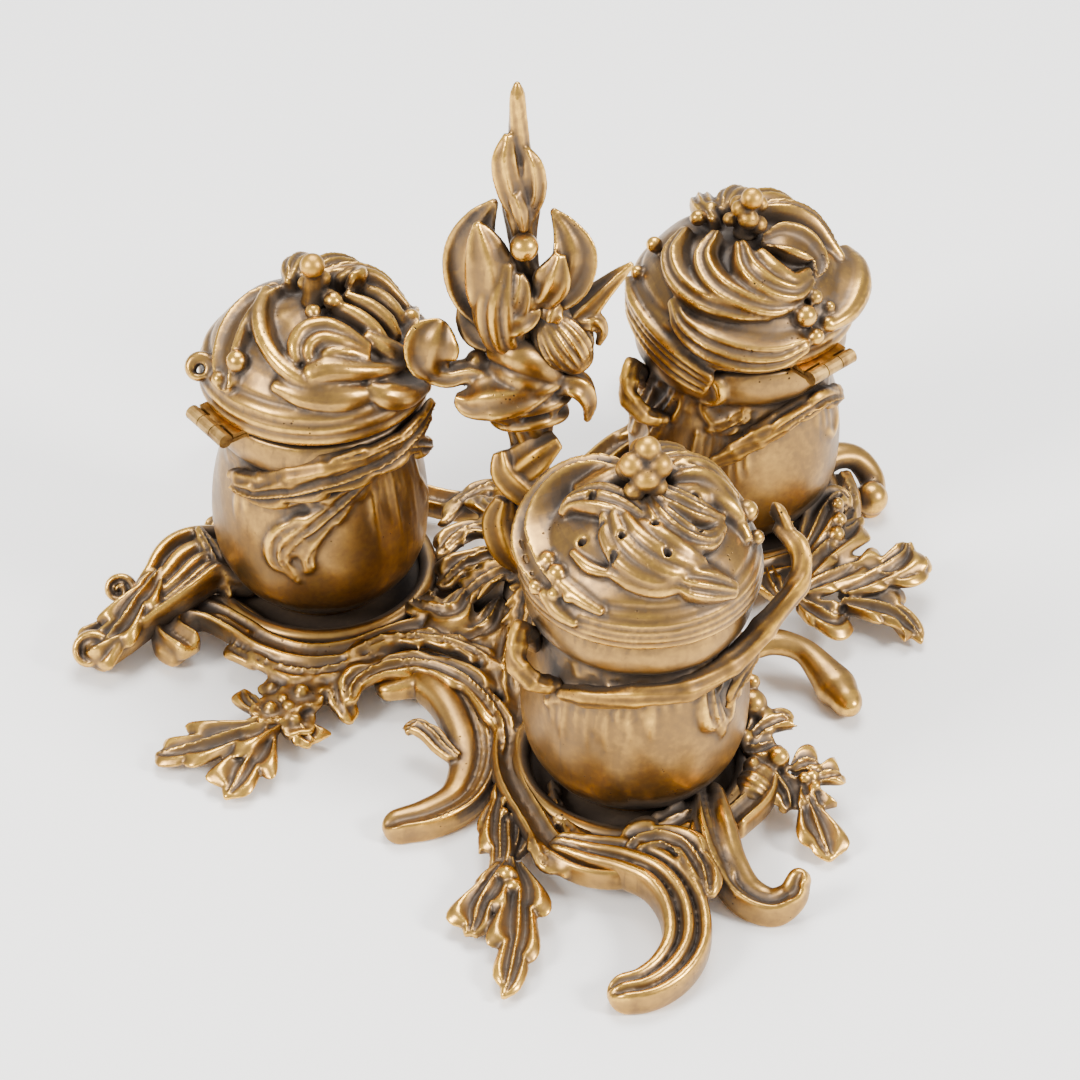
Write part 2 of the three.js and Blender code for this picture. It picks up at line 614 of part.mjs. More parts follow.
// A lobe of leaf on a lid. Rows are the angle and the radius as a share of the lid's, then how far
// it rises above the dome, its half width and its half height, as shares of a crest's half width.
const lobeShares = {
  left: [
    [[262, 0.88, 0.2, 0.4, 0.5], [236, 0.88, 0.5, 0.85, 0.7], [214, 0.78, 0.9, 1.25, 0.9],
      [192, 0.61, 1.2, 1.5, 1], [168, 0.42, 1.2, 1.25, 1], [148, 0.21, 0.8, 0.65, 0.8]],
    [[206, 0.95, 0.3, 0.4, 0.5], [231, 0.93, 0.4, 0.65, 0.6], [255, 0.91, 0.4, 0.7, 0.6],
      [280, 0.93, 0.2, 0.4, 0.5]],
    [[238, 0.54, 0.6, 0.4, 0.6], [250, 0.49, 1.1, 0.8, 0.95], [268, 0.46, 1.1, 0.85, 0.95],
      [290, 0.56, 0.6, 0.35, 0.5]],
    [[246, 0.69, 0.6, 0.4, 0.6], [258, 0.62, 1.1, 0.75, 0.85], [273, 0.61, 1, 0.75, 0.8],
      [290, 0.68, 0.5, 0.35, 0.5]],
    [[250, 0.82, 0.5, 0.5, 0.6], [262, 0.76, 1, 0.75, 0.8], [276, 0.78, 1, 0.7, 0.75],
      [292, 0.81, 0.8, 0.5, 0.6], [310, 0.86, 0.6, 0.3, 0.4]],
    [[286, 0.92, 0.3, 0.5, 0.6], [296, 0.97, 0.3, 0.75, 0.8], [308, 0.98, 0.3, 0.8, 0.8],
      [324, 0.96, 0.2, 0.4, 0.5]],
  ],
  right: [
    [[242, 0.85, 0.25, 0.25, 0.4], [221, 0.81, 0.6, 0.55, 0.6], [202, 0.765, 0.85, 0.85, 0.8],
      [186, 0.7, 1, 1, 0.9], [171, 0.58, 1, 0.9, 0.85], [160, 0.45, 0.75, 0.5, 0.6]],
    [[288, 0.85, 0.25, 0.25, 0.4], [270, 0.835, 0.75, 0.6, 0.65], [250, 0.76, 1.1, 0.9, 0.85],
      [230, 0.64, 1.4, 1.1, 0.95], [210, 0.46, 1.4, 1.05, 0.9], [196, 0.28, 1, 0.5, 0.65]],
    [[298, 0.745, 0.5, 0.3, 0.5], [282, 0.745, 1.25, 0.85, 0.85], [266, 0.655, 1.6, 1.15, 1],
      [250, 0.48, 1.6, 1.1, 1], [240, 0.31, 1.25, 0.55, 0.75]],
    [[205, 0.93, -0.3, 0.4, 0.5], [225, 0.97, -0.7, 0.9, 0.8], [245, 0.99, -0.8, 1.1, 0.9],
      [265, 0.99, -0.8, 1.1, 0.9], [283, 0.97, -0.6, 0.7, 0.7]],
    [[296, 0.95, 0, 0.4, 0.6], [310, 0.98, 0.3, 0.6, 0.9], [325, 1, 0.8, 0.7, 1.1],
      [340, 1, 0.9, 0.6, 1], [356, 0.97, 0.4, 0.4, 0.6]],
    [[300, 0.32, 0.6, 0.5, 0.8], [318, 0.46, 1, 0.9, 1.2], [330, 0.6, 1, 1, 1.2],
      [322, 0.72, 0.8, 0.8, 1.1], [308, 0.74, 0.5, 0.4, 0.7]],
  ],
  front: [
    [[210, 0.95, 0, 0.4, 0.5], [190, 0.93, 0.5, 1, 0.8], [168, 0.9, 1, 1.4, 1],
      [150, 0.82, 1.5, 1.5, 1.1], [134, 0.66, 1.8, 1.4, 1.1], [118, 0.45, 1.5, 1, 1],
      [102, 0.26, 0.8, 0.5, 0.7]],
    [[196, 0.7, 0.4, 0.4, 0.6], [182, 0.61, 1, 0.9, 0.9], [170, 0.47, 1.5, 1.1, 1],
      [186, 0.32, 1.4, 0.9, 0.9], [222, 0.27, 1, 0.6, 0.8]],
    [[290, 0.78, 0.4, 0.25, 0.5], [275, 0.67, 1, 0.65, 0.75], [257, 0.54, 1.25, 0.9, 0.85],
      [238, 0.48, 1.1, 0.8, 0.8], [220, 0.46, 0.75, 0.4, 0.55]],
    [[284, 0.82, 0.25, 0.25, 0.4], [268, 0.76, 0.75, 0.6, 0.65], [250, 0.67, 1, 0.75, 0.75],
      [234, 0.61, 0.9, 0.6, 0.65], [220, 0.55, 0.5, 0.3, 0.5]],
    [[292, 0.7, 0.75, 0.35, 0.6], [278, 0.55, 1.5, 0.8, 0.85], [258, 0.37, 1.5, 0.85, 0.85],
      [236, 0.3, 1, 0.45, 0.65]],
    [[276, 0.27, 1, 0.5, 0.7], [296, 0.38, 1.5, 0.8, 0.9], [312, 0.53, 1.5, 0.85, 0.9],
      [311, 0.67, 1.2, 0.7, 0.8], [298, 0.74, 0.7, 0.4, 0.6]],
    [[272, 0.8, 0.2, 0.3, 0.4], [288, 0.85, 0.6, 0.9, 0.7], [300, 0.9, 0.6, 0.8, 0.7],
      [314, 0.94, 0.2, 0.35, 0.4]],
    [[0, 0.27, 0.6, 0.35, 0.5], [350, 0.45, 0.8, 0.5, 0.6], [342, 0.7, 0.8, 0.6, 0.7],
      [340, 0.8, 0.6, 0.4, 0.6]],
  ],
};

// Two kinds of lobe are repeated round a lid, and their angles are from the place of each
const backLobeShares = [
  [0, 0.27, 0.9, 0.4, 0.6], [-26, 0.45, 1.2, 0.9, 0.85], [-42, 0.63, 1.1, 0.95, 0.85],
  [-60, 0.85, 0.4, 0.4, 0.4],
];
const fringeShares = [
  [12, 0.27, 0.8, 0.4, 0.6], [8, 0.42, 1.1, 0.65, 0.85], [0, 0.58, 1.1, 0.65, 0.8],
  [-12, 0.76, 0.5, 0.35, 0.5],
];
const backLobeAngles = { left: [62, 94, 126], right: [50, 86, 118, 150], front: [34, 62, 92] };
const fringeAngles = { left: [2, 340, 322, 304], right: [], front: [] };
const lidBerryShares = {
  left: [[196, 0.9, 0.58], [205, 0.78, 0.74], [345, 0.8, 0.72], [352, 0.93, 0.52]],
  right: [[286, 0.9, 0.58], [298, 0.82, 0.72], [160, 0.78, 0.76], [166, 0.91, 0.54]],
  front: [[350, 0.84, 0.72], [204, 0.86, 0.66], [212, 0.9, 0.6]],
};

function lidOrnament(name) {
  const turnedBy = (rows, angle) => rows.map(([degrees, ...shares]) => [degrees + angle, ...shares]);
  const lobes = [
    ...lobeShares[name],
    ...backLobeAngles[name].map((angle) => turnedBy(backLobeShares, angle)),
    ...fringeAngles[name].map((angle) => turnedBy(fringeShares, angle)),
  ];
  const swirls = lobes.map((rows) => swept(rows.map(([degrees, radius, rise, wide, tall]) => ({
    at: polar(hub, degrees, radius * lidRadius, domeHeight(radius) + rise * crestRadius),
    wide: wide * crestRadius,
    tall: tall * crestRadius,
  })), lobeSection));
  const berries = lidBerryShares[name].map(([degrees, radius, height]) => (
    ball(polar(hub, degrees, radius * lidRadius, height * lidHeight), berryRadius)
  ));
  return [...swirls, ...berries];
}

// Nothing of a lid may reach into its hollow, and its leaves stay clear of the finial's foot
const lidHollow = turned([
  [0, -overrun],
  [spigotInner, -overrun],
  ...lidInner,
  [0, crownHeight - lidWall],
]);
const crownCutter = rod(finialFootRadius + fitGap, crownHeight, crownHeight + lidHeight, hub);

function hingedLid(name) {
  const body = joined([lidShell(false), ...lidOrnament(name)]);
  return cutBy(body, [lidHollow, crownCutter]);
}

// The pounce pot's cover is pierced by small holes. Rows are the angle and the radius as a share.
const pounceHoleShares = [
  [264, 0.56], [234, 0.86], [268, 0.86], [212, 0.62], [236, 0.7], [330, 0.5], [203, 0.74], [300, 0.72],
  [180, 0.5],
];

function piercedCover() {
  const body = joined([lidShell(true), ...lidOrnament('front')]);
  const holes = pounceHoleShares.map(([degrees, radius]) => {
    const centre = polar(hub, degrees, radius * mouthRadius, 0);
    return rod(pounceHoleRadius, -overrun, 2 * lidHeight, centre, holeSides);
  });
  return cutBy(body, [lidHollow, crownCutter, ...holes]);
}

// Finials: a short stalk on a round foot, with berries heaped on it
const finialTallShares = { left: 0.8, right: 0.85, front: 1 };
const stalkShares = [[1, 0], [0.8, 0.4], [0.5, 0.85]];
const finialBerryShares = {
  left: [[250, 0.4, 1.08, 1.12], [20, 0.7, 0.55, 0.8]],
  right: [
    [270, 0.9, 1.08, 1], [256, 1.15, 0.62, 0.95], [217, 0.95, 0.8, 0.8], [110, 0.9, 0.6, 0.9],
    [300, 1.1, 0.4, 0.85],
  ],
  front: [
    [0, 0.2, 1.05, 1.1], [80, 1.05, 0.8, 1.1], [200, 1.1, 0.74, 1.15], [270, 1.15, 0.58, 1.1],
    [315, 1.15, 0.72, 1.1], [20, 1.2, 0.52, 1.05], [140, 1.2, 0.46, 1],
  ],
};

function finial(name) {
  const height = finialHeight * finialTallShares[name];
  const outline = stalkShares.map(([radius, up]) => [radius * finialFootRadius, up * height]);
  const stalk = turned([[0, 0], ...outline, [0, height]], hub, smallSides);
  const berries = finialBerryShares[name].map(([degrees, out, up, size]) => (
    ball(polar(hub, degrees, out * finialFootRadius, up * height), size * berryRadius)
  ));
  const below = rod(3 * finialFootRadius, -finialHeight, 0, hub);
  return cutBy(joined([stalk, ...berries]), [below]);
}

// Hinges: flat leaves between collar and lid, three knuckles and a pin. The hinge is built along Y
// with its axis at the origin, and the pot's axis lies towards -X.
const lidLift = 2 * hingeLeafThickness + fitGap;
const hingeRadius = lidRadius + hingeOffset;
const hingeHeight = potHeight + lidLift / 2;
const knuckleLength = (hingeLength - 2 * fitGap) / 3;
const leafInnerEnd = -hingeRadius + mouthRadius + linerWall / 2;

function lyingRod(radius, from, to) {
  const geometry = new THREE.CylinderGeometry(radius, radius, to - from, smallSides);
  geometry.translate(0, (from + to) / 2, 0);
  return solid(geometry);
}

function hingeLeaf(below, knuckles) {
  const low = below ? -lidLift / 2 : lidLift / 2 - hingeLeafThickness;
  const tongueEnd = -knuckleRadius - fitGap;
  const half = hingeLength / 2;
  const plate = block(
    new THREE.Vector3(leafInnerEnd, -half, low),
    new THREE.Vector3(tongueEnd, half, low + hingeLeafThickness),
  );
  const parts = knuckles.flatMap(([from, to]) => [
    lyingRod(knuckleRadius, from, to),
    block(
      new THREE.Vector3(tongueEnd - fitGap, from, low),
      new THREE.Vector3(0, to, low + hingeLeafThickness),
    ),
  ]);
  const bore = lyingRod(hingePinRadius + hingePinClearance, -hingeLength, hingeLength);
  return cutBy(joined([plate, ...parts]), [bore]);
}

const middleKnuckle = [[-knuckleLength / 2, knuckleLength / 2]];
const outerKnuckles = [
  [-hingeLength / 2, -knuckleLength / 2 - fitGap],
  [knuckleLength / 2 + fitGap, hingeLength / 2],
];

// The flowering stem: a spiral-leaved shaft, a collar with drooping leaves, a neck between two
// blossoms, and a bud on top. Its foot stands on the hub, a little left of and behind the middle.
const stemTop = stemHeight - hubTop;

function stemPoint(share, out = 0, degrees = 0) {
  const middle = new THREE.Vector3(
    stemFoot.x - stemLean * share,
    stemFoot.y + stemLeanBack * share,
    0,
  );
  return polar(middle, degrees, out, hubTop + share * stemTop);
}

// Rows of a length of stem: height as a share of the stem's, and thickness as a share of its radius
const shaftShares = [
  [-0.03, 1.7], [0.03, 1.35], [0.08, 0.95], [0.14, 0.85], [0.2, 1.0], [0.26, 0.85], [0.34, 0.95],
];
const collarShares = [[0.26, 0.8], [0.32, 0.85], [0.38, 1.0], [0.44, 1.3], [0.48, 1.2], [0.52, 0.9]];
const neckShares = [[0.46, 0.9], [0.53, 0.85], [0.6, 0.8], [0.67, 0.65], [0.73, 0.55]];
const budShares = [
  [0.66, 0.55], [0.72, 0.6], [0.78, 0.8], [0.84, 0.9], [0.89, 0.55], [0.94, 0.42], [0.98, 0.4],
  [1, 0.2],
];
const shaftEndShare = 0.3;
const collarEndShare = 0.49;
const neckEndShare = 0.7;

function stemLength(rowShares, extra = 0) {
  const stations = rowShares.map(([share, thick]) => ({
    at: stemPoint(share),
    wide: thick * stemRadius,
    tall: thick * stemRadius,
  }));
  return swept(stations, roundShares, new THREE.Vector3(0, 1, 0), extra);
}

// Cuts a length of stem square between two heights
function between(body, lowShare, highShare) {
  const reach = 2 * backPotSpacing;
  const low = stemPoint(lowShare).z + (lowShare > 0 ? fitGap : -trayRimTop);
  const high = stemPoint(highShare).z;
  const under = block(
    new THREE.Vector3(-reach, -reach, low - 2 * reach),
    new THREE.Vector3(reach, reach, low),
  );
  const over = block(
    new THREE.Vector3(-reach, -reach, high),
    new THREE.Vector3(reach, reach, high + 2 * reach),
  );
  return cutBy(body, [under, over]);
}

// A leaf on the stem. Rows are the angle round the stem, the distance out, the height as a share of
// the stem's, and the half width and half thickness as shares.
function stemLeaf(rowShares, extra = 0) {
  const stations = rowShares.map(([degrees, out, share, wide, tall]) => ({
    at: stemPoint(share, out * leafReach, degrees),
    wide: wide * stemLeafHalfWidth,
    tall: tall * leafHalfThickness,
  }));
  const [first, last] = [stations[0].at, stations[stations.length - 1].at];
  const chord = new THREE.Vector3().subVectors(last, first);
  const outwards = new THREE.Vector3().subVectors(last, stemFoot).setZ(0);
  const across = new THREE.Vector3().crossVectors(upward, outwards).normalize();
  const over = new THREE.Vector3().crossVectors(chord, across).normalize();
  return swept(stations, leafShares, over, extra);
}

// Leaves that cover the joint of stem and hub
const calyxCount = 5;
const calyxShares = [
  [0.15, 0.03, 0.7, 1], [0.45, 0.045, 1.1, 1], [0.75, 0.02, 1.2, 0.9], [1.0, -0.02, 0.35, 0.5],
];
const calyxLeaves = Array.from({ length: calyxCount }, (_, k) => {
  const degrees = (360 / calyxCount) * (k + 0.5);
  const stations = calyxShares.map(([out, share, wide, tall]) => ({
    at: stemPoint(share, out * hubRadius, degrees),
    wide: wide * stemLeafHalfWidth,
    tall: tall * leafHalfThickness,
  }));
  return swept(stations, leafShares);
});

// The collar's left arm, its drooping left leaf, its right hook, and a leaf in front and behind
const collarLeafShares = [
  [[180, 0.1, 0.44, 0.8, 1.4], [186, 0.35, 0.43, 0.7, 1.2], [188, 0.66, 0.46, 0.9, 1],
    [186, 0.98, 0.53, 0.9, 0.8]],
  [[215, 0.1, 0.44, 0.9, 1.3], [215, 0.4, 0.43, 1.2, 1.1], [215, 0.62, 0.41, 1, 1],
    [215, 0.75, 0.4, 0.4, 0.7]],
  [[-20, 0.1, 0.41, 0.9, 1.3], [-20, 0.4, 0.43, 1, 1.1], [-20, 0.58, 0.4, 0.9, 1],
    [-20, 0.57, 0.35, 0.5, 0.8]],
  [[270, 0.1, 0.44, 1, 1.2], [262, 0.36, 0.43, 1.1, 1], [255, 0.52, 0.38, 0.6, 0.8]],
  [[80, 0.1, 0.42, 0.9, 1.3], [80, 0.4, 0.43, 1, 1.1], [80, 0.6, 0.38, 0.5, 0.8]],
];

// The neck's long spike at the right, and the petals above it
const neckLeafShares = [
  [[0, 0.05, 0.54, 0.8, 1.4], [-6, 0.4, 0.55, 0.7, 1.1], [-8, 0.72, 0.59, 0.5, 0.9],
    [-8, 1.06, 0.655, 0.15, 0.4]],
  [[-10, 0.05, 0.6, 0.9, 1.3], [-10, 0.34, 0.63, 1.2, 0.9], [-5, 0.46, 0.7, 1.1, 0.7],
    [0, 0.44, 0.76, 0.4, 0.5]],
];

// A blossom stands beside the neck: rows are the angle, the distance out, the height and the radius
const tulipShares = [
  [200, 0.15, 0.52, 0.4], [200, 0.3, 0.56, 0.95], [195, 0.36, 0.62, 1.05], [190, 0.34, 0.68, 0.95],
  [180, 0.28, 0.745, 0.4],
];
const ribbedShares = [
  [-50, 0.12, 0.46, 0.4], [-40, 0.32, 0.49, 0.95], [-35, 0.36, 0.53, 1.05], [-30, 0.38, 0.57, 0.95],
  [-25, 0.38, 0.61, 0.5],
];

function blossom(rowShares, extra = 0) {
  const stations = rowShares.map(([degrees, out, share, thick]) => ({
    at: stemPoint(share, out * leafReach, degrees),
    wide: thick * blossomRadius,
    tall: thick * blossomRadius,
  }));
  return swept(stations, roundShares, new THREE.Vector3(0, 1, 0), extra);
}

const hubSeat = turned([
  [0, trayUnderside],
  [hubRadius + fitGap, trayUnderside],
  [hubRadius + fitGap, trayFloorTop + fitGap],
  [hubRadius / 2 + fitGap, hubTop + fitGap],
  [0, hubTop + fitGap],
], stemFoot);
const rodCutter = rod(rodRadius + fitGap, 0, rodTop + fitGap, stemFoot);

const shaft = between(stemLength(shaftShares), 0, shaftEndShare);
const shaftGrown = between(stemLength(shaftShares, fitGap), 0, shaftEndShare);
const stemShaft = cutBy(joined([shaft, ...calyxLeaves]), [hubSeat, rodCutter]);

const collarCore = between(stemLength(collarShares), shaftEndShare, collarEndShare);
const collarLeaves = collarLeafShares.map((rows) => stemLeaf(rows));
const stemCollar = cutBy(joined([collarCore, ...collarLeaves]), [shaftGrown]);

const neckCore = between(stemLength(neckShares), collarEndShare, neckEndShare);
const stemNeck = joined([neckCore, ...neckLeafShares.map((rows) => stemLeaf(rows))]);
const topBud = between(stemLength(budShares), neckEndShare, 1);

// Each blossom is cut clear of the collar, the neck and the bud that it stands against
const stemGrown = [
  ...[collarShares, neckShares, budShares].map((rows) => stemLength(rows, fitGap)),
  ...[...collarLeafShares, ...neckLeafShares].map((rows) => stemLeaf(rows, fitGap)),
];
const leftTulip = cutBy(blossom(tulipShares), stemGrown);
const ribbedBlossom = cutBy(blossom(ribbedShares), stemGrown);

// The rod runs from under the hub up into the shaft, and a nut below draws the stem down
const stemRod = rod(rodRadius, trayUnderside - nutHeight, rodTop, stemFoot);
const stemNut = cutBy(
  rod(nutRadius, trayUnderside - nutHeight, trayUnderside, stemFoot, nutSides),
  [rod(rodRadius + fitGap, -overrun, trayRimTop, stemFoot)],
);

// The assembly

function geometryOf(body) {
  const { vertProperties, triVerts } = body.getMesh();
  const geometry = new THREE.BufferGeometry();
  geometry.setAttribute('position', new THREE.BufferAttribute(new Float32Array(vertProperties), 3));
  geometry.setIndex(new THREE.BufferAttribute(new Uint32Array(triVerts), 1));
  geometry.computeVertexNormals();
  return geometry;
}

function add(group, name, body, look) {
  const mesh = new THREE.Mesh(geometryOf(body), new THREE.MeshStandardMaterial(look));
  mesh.name = name;
  group.add(mesh);
  return mesh;
}

const inkstand = new THREE.Group();

add(inkstand, 'stand', stand, gilt);
Object.keys(footShares).forEach((name) => add(inkstand, name, scrollFoot(name), gilt));
add(inkstand, 'foot_left_shell', shellFoot(), gilt);
Object.keys(sprayShares).forEach((name) => add(inkstand, name, spray(name), gilt));

const nodePrefixes = { left: 'inkwell_left', right: 'inkwell_right', front: 'pounce_pot' };

for (const [name, centre] of Object.entries(pots)) {
  const isInkwell = name !== 'front';
  const prefix = nodePrefixes[name];
  const pot = new THREE.Group();
  pot.position.set(centre.x, centre.y, trayFloorTop);
  add(pot, `${prefix}_body`, potBody(isInkwell), gilt);
  add(pot, `${prefix}_screw`, potScrew(), brass);
  add(pot, `${prefix}_twig`, twig(twigShares[name]), darkGilt);
  if (loopedPots.includes(name)) add(pot, `${prefix}_loop`, twig(loopShares), darkGilt);
  if (isInkwell) add(pot, `${prefix}_liner`, liner(), glass);

  const lid = new THREE.Group();
  lid.position.z = potHeight + (isInkwell ? lidLift : 0);
  if (isInkwell) add(lid, `${prefix}_lid`, hingedLid(name), gilt);
  else add(lid, `${prefix}_cover`, piercedCover(), gilt);
  const top = add(lid, `${prefix}_finial`, finial(name), darkGilt);
  top.position.z = crownHeight;
  pot.add(lid);

  if (isInkwell) {
    const hinge = new THREE.Group();
    hinge.position.copy(polar(hub, hingeAngles[name], hingeRadius, hingeHeight));
    hinge.rotation.z = rad(hingeAngles[name]);
    add(hinge, `${prefix}_hinge_pot_leaf`, hingeLeaf(true, outerKnuckles), brass);
    add(hinge, `${prefix}_hinge_lid_leaf`, hingeLeaf(false, middleKnuckle), brass);
    const pin = lyingRod(hingePinRadius, -hingeLength / 2, hingeLength / 2);
    add(hinge, `${prefix}_hinge_pin`, pin, brass);
    pot.add(hinge);
  }
  inkstand.add(pot);
}

add(inkstand, 'stem_shaft', stemShaft, darkGilt);
add(inkstand, 'stem_collar', stemCollar, gilt);
add(inkstand, 'stem_neck', stemNeck, gilt);
add(inkstand, 'stem_left_tulip', leftTulip, gilt);
add(inkstand, 'stem_right_blossom', ribbedBlossom, gilt);
add(inkstand, 'stem_top_bud', topBud, gilt);
add(inkstand, 'stem_rod', stemRod, brass);
add(inkstand, 'stem_nut', stemNut, brass);

// The origin is the middle of the footprint, on the table
const bounds = new THREE.Box3().setFromObject(inkstand);
const centre = bounds.getCenter(new THREE.Vector3());
const placed = new THREE.Group();
inkstand.position.set(-centre.x, -centre.y, -bounds.min.z);
placed.add(inkstand);

export default placed;
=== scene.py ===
"""A rococo desk inkstand in gilt bronze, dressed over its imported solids. Tables are in millimetres,
with the origin on the desk in the middle of the three pots, and each piece is placed in metres."""
import math
from functools import partial

import bpy
import numpy as np
from mathutils import Matrix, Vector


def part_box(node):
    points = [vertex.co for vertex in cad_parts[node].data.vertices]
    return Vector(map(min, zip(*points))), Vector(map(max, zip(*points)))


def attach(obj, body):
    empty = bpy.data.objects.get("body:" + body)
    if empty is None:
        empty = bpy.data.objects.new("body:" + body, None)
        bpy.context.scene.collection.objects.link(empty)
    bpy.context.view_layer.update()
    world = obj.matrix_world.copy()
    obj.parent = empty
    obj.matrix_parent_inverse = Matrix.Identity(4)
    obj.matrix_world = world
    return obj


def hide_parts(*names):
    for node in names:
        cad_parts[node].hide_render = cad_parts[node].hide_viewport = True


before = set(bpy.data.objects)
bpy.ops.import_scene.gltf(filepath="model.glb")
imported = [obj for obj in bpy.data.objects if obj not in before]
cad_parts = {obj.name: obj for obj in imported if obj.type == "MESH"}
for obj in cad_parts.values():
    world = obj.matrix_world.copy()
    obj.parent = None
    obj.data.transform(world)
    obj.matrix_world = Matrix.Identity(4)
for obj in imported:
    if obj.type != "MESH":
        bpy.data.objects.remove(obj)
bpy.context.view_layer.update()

# The desk top, the studio and the camera
# A plain pale sheet under the inkstand and behind it, with wide soft lamps above and at both sides.
# The camera looks down from the front left, as the writer sees the inkstand on the desk.

pounce_forward = 68.8
screw_low, screw_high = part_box("pounce_pot_screw")
pounce_axis = (np.array(screw_low) + np.array(screw_high)) / 2 * 1000
middle = np.array([pounce_axis[0], pounce_axis[1] + pounce_forward, 0.0])

camera_turn, camera_rise, camera_roll = math.radians(-17), math.radians(39.5), math.radians(1.0)
camera_distance, pixels_per_mm, frame_pixels = 1100.0, 3.40, 1080
middle_pixel = (561.24, 629.04)

back = np.array([math.sin(camera_turn) * math.cos(camera_rise),
                 -math.cos(camera_turn) * math.cos(camera_rise), math.sin(camera_rise)])
level = np.array([math.cos(camera_turn), math.sin(camera_turn), 0.0])
upright = np.cross(back, level)
right = level * math.cos(camera_roll) + upright * math.sin(camera_roll)
up = upright * math.cos(camera_roll) - level * math.sin(camera_roll)
look_at = (right * (frame_pixels / 2 - middle_pixel[0])
           - up * (frame_pixels / 2 - middle_pixel[1])) / pixels_per_mm
eye = (middle + look_at + back * camera_distance) / 1000

lens = bpy.data.cameras.new("desk_view")
lens.sensor_width = 36
lens.lens = pixels_per_mm * camera_distance / frame_pixels * lens.sensor_width
camera = bpy.data.objects.new("desk_view", lens)
turned = np.eye(4)
turned[:3, 0], turned[:3, 1], turned[:3, 2], turned[:3, 3] = right, up, back, eye
camera.matrix_world = Matrix(turned.tolist())
bpy.context.scene.collection.objects.link(camera)
bpy.context.scene.camera = camera
lamp_target = (0, 0, 0.05)


def soft_lamp(name, place, size, power, tint):
    """A square area lamp at a place in metres, turned so that it faces the inkstand."""
    lamp = bpy.data.lights.new(name, "AREA")
    lamp.size, lamp.energy, lamp.color = size, power, tint
    holder = bpy.data.objects.new(name, lamp)
    towards = np.array(lamp_target) - np.array(place)
    facing = -towards / np.linalg.norm(towards)
    sideways = np.cross([0, 0, 1], facing)
    sideways = sideways / np.linalg.norm(sideways)
    matrix = np.eye(4)
    matrix[:3, 0], matrix[:3, 1], matrix[:3, 2] = sideways, np.cross(facing, sideways), facing
    matrix[:3, 3] = place
    holder.matrix_world = Matrix(matrix.tolist())
    bpy.context.scene.collection.objects.link(holder)


soft_lamp("window_left", (-0.95, -0.3, 0.75), 0.4, 19, (1.0, 0.97, 0.92))
soft_lamp("window_right", (0.9, -0.75, 0.8), 0.32, 24, (1.0, 0.97, 0.92))
soft_lamp("ceiling", (0.15, 0.45, 1.25), 0.7, 24, (1.0, 0.99, 0.97))

studio = bpy.data.worlds.new("studio")
studio.use_nodes = True
studio.node_tree.nodes["Background"].inputs["Color"].default_value = (0.96, 0.97, 1.0, 1)
studio.node_tree.nodes["Background"].inputs["Strength"].default_value = 0.85
bpy.context.scene.world = studio

reach_of_sheet = 6
sheet_mesh = bpy.data.meshes.new("desk_sheet")
sheet_mesh.from_pydata([(x * reach_of_sheet, y * reach_of_sheet, 0)
                        for x, y in ((-1, -1), (1, -1), (1, 1), (-1, 1))], [], [(0, 1, 2, 3)])
desk_sheet = bpy.data.objects.new("desk_sheet", sheet_mesh)
bpy.context.scene.collection.objects.link(desk_sheet)
paper = bpy.data.materials.new("white_paper")
paper.use_nodes = True
paper.node_tree.nodes["Principled BSDF"].inputs["Base Color"].default_value = (0.97, 0.97, 0.97, 1)
paper.node_tree.nodes["Principled BSDF"].inputs["Roughness"].default_value = 0.9
sheet_mesh.materials.append(paper)


# The stand: three round trays and a hub, tied by moulded rails
# Sand-cast bronze, chased and fire-gilt in one piece. The rails carry two rounded rolls with a worn
# channel between them, and ruffled leaf borders run along their outer sides.

pot_axis = {name: (np.array(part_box(node)[0]) + np.array(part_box(node)[1])) / 2 * 1000
            for name, node in (("left", "inkwell_left_screw"), ("right", "inkwell_right_screw"),
                               ("front", "pounce_pot_screw"))}
for axis in pot_axis.values():
    axis[2] = 0
centre_of = {"hub": middle, **pot_axis}
stem_x, stem_y = -6.5, 5.0
stem_foot = middle + np.array([stem_x, stem_y, 0.0])
tray_radius, tray_top, rim_top = 34, 8, 12.5
foot_wide, foot_tall = 6, 5
rail_middle, rail_wide, rail_tall = 9.5, 4.2, 4.0
web_middle, web_wide, web_tall = 6.75, 17.25, 1.25
least_clearance = 0.2
castings = []


def unit(rows):
    """Each row divided by its length."""
    return rows / np.maximum(np.linalg.norm(rows, axis=-1, keepdims=True), 1e-9)


def along(stations, count):
    """Points on a smooth line through the stations, with all columns carried alike. Between two
    stations it is a centripetal Catmull-Rom curve: three rounds of straight mixing over the square
    roots of the distances between the stations."""
    p = np.asarray(stations, float)
    p = np.vstack([2 * p[0] - p[1], p, 2 * p[-1] - p[-2]])
    t = np.concatenate([[0], np.cumsum(np.sqrt(np.linalg.norm(np.diff(p[:, :3], axis=0), axis=1)))])
    u = np.linspace(t[1], t[-2], count)
    k = np.clip(np.searchsorted(t, u, side="right") - 1, 1, len(p) - 3)
    mix = lambda a, b, ta, tb: a + (b - a) * ((u - ta) / (tb - ta))[:, None]
    t0, t1, t2, t3 = t[k - 1], t[k], t[k + 1], t[k + 2]
    a, b, c = mix(p[k - 1], p[k], t0, t1), mix(p[k], p[k + 1], t1, t2), mix(p[k + 1], p[k + 2], t2, t3)
    return mix(mix(a, b, t0, t2), mix(b, c, t1, t3), t1, t2)


def framed(at, over):
    """Unit vectors along, to the left of and above a line of points: left is square to "over" and
    the line, and above is square to both. "Over" may also be worked out from the points."""
    ahead = unit(np.gradient(at, axis=0))
    over = over(at) if callable(over) else over
    left = unit(np.cross(np.broadcast_to(over, at.shape), ahead))
    return ahead, left, np.cross(ahead, left)


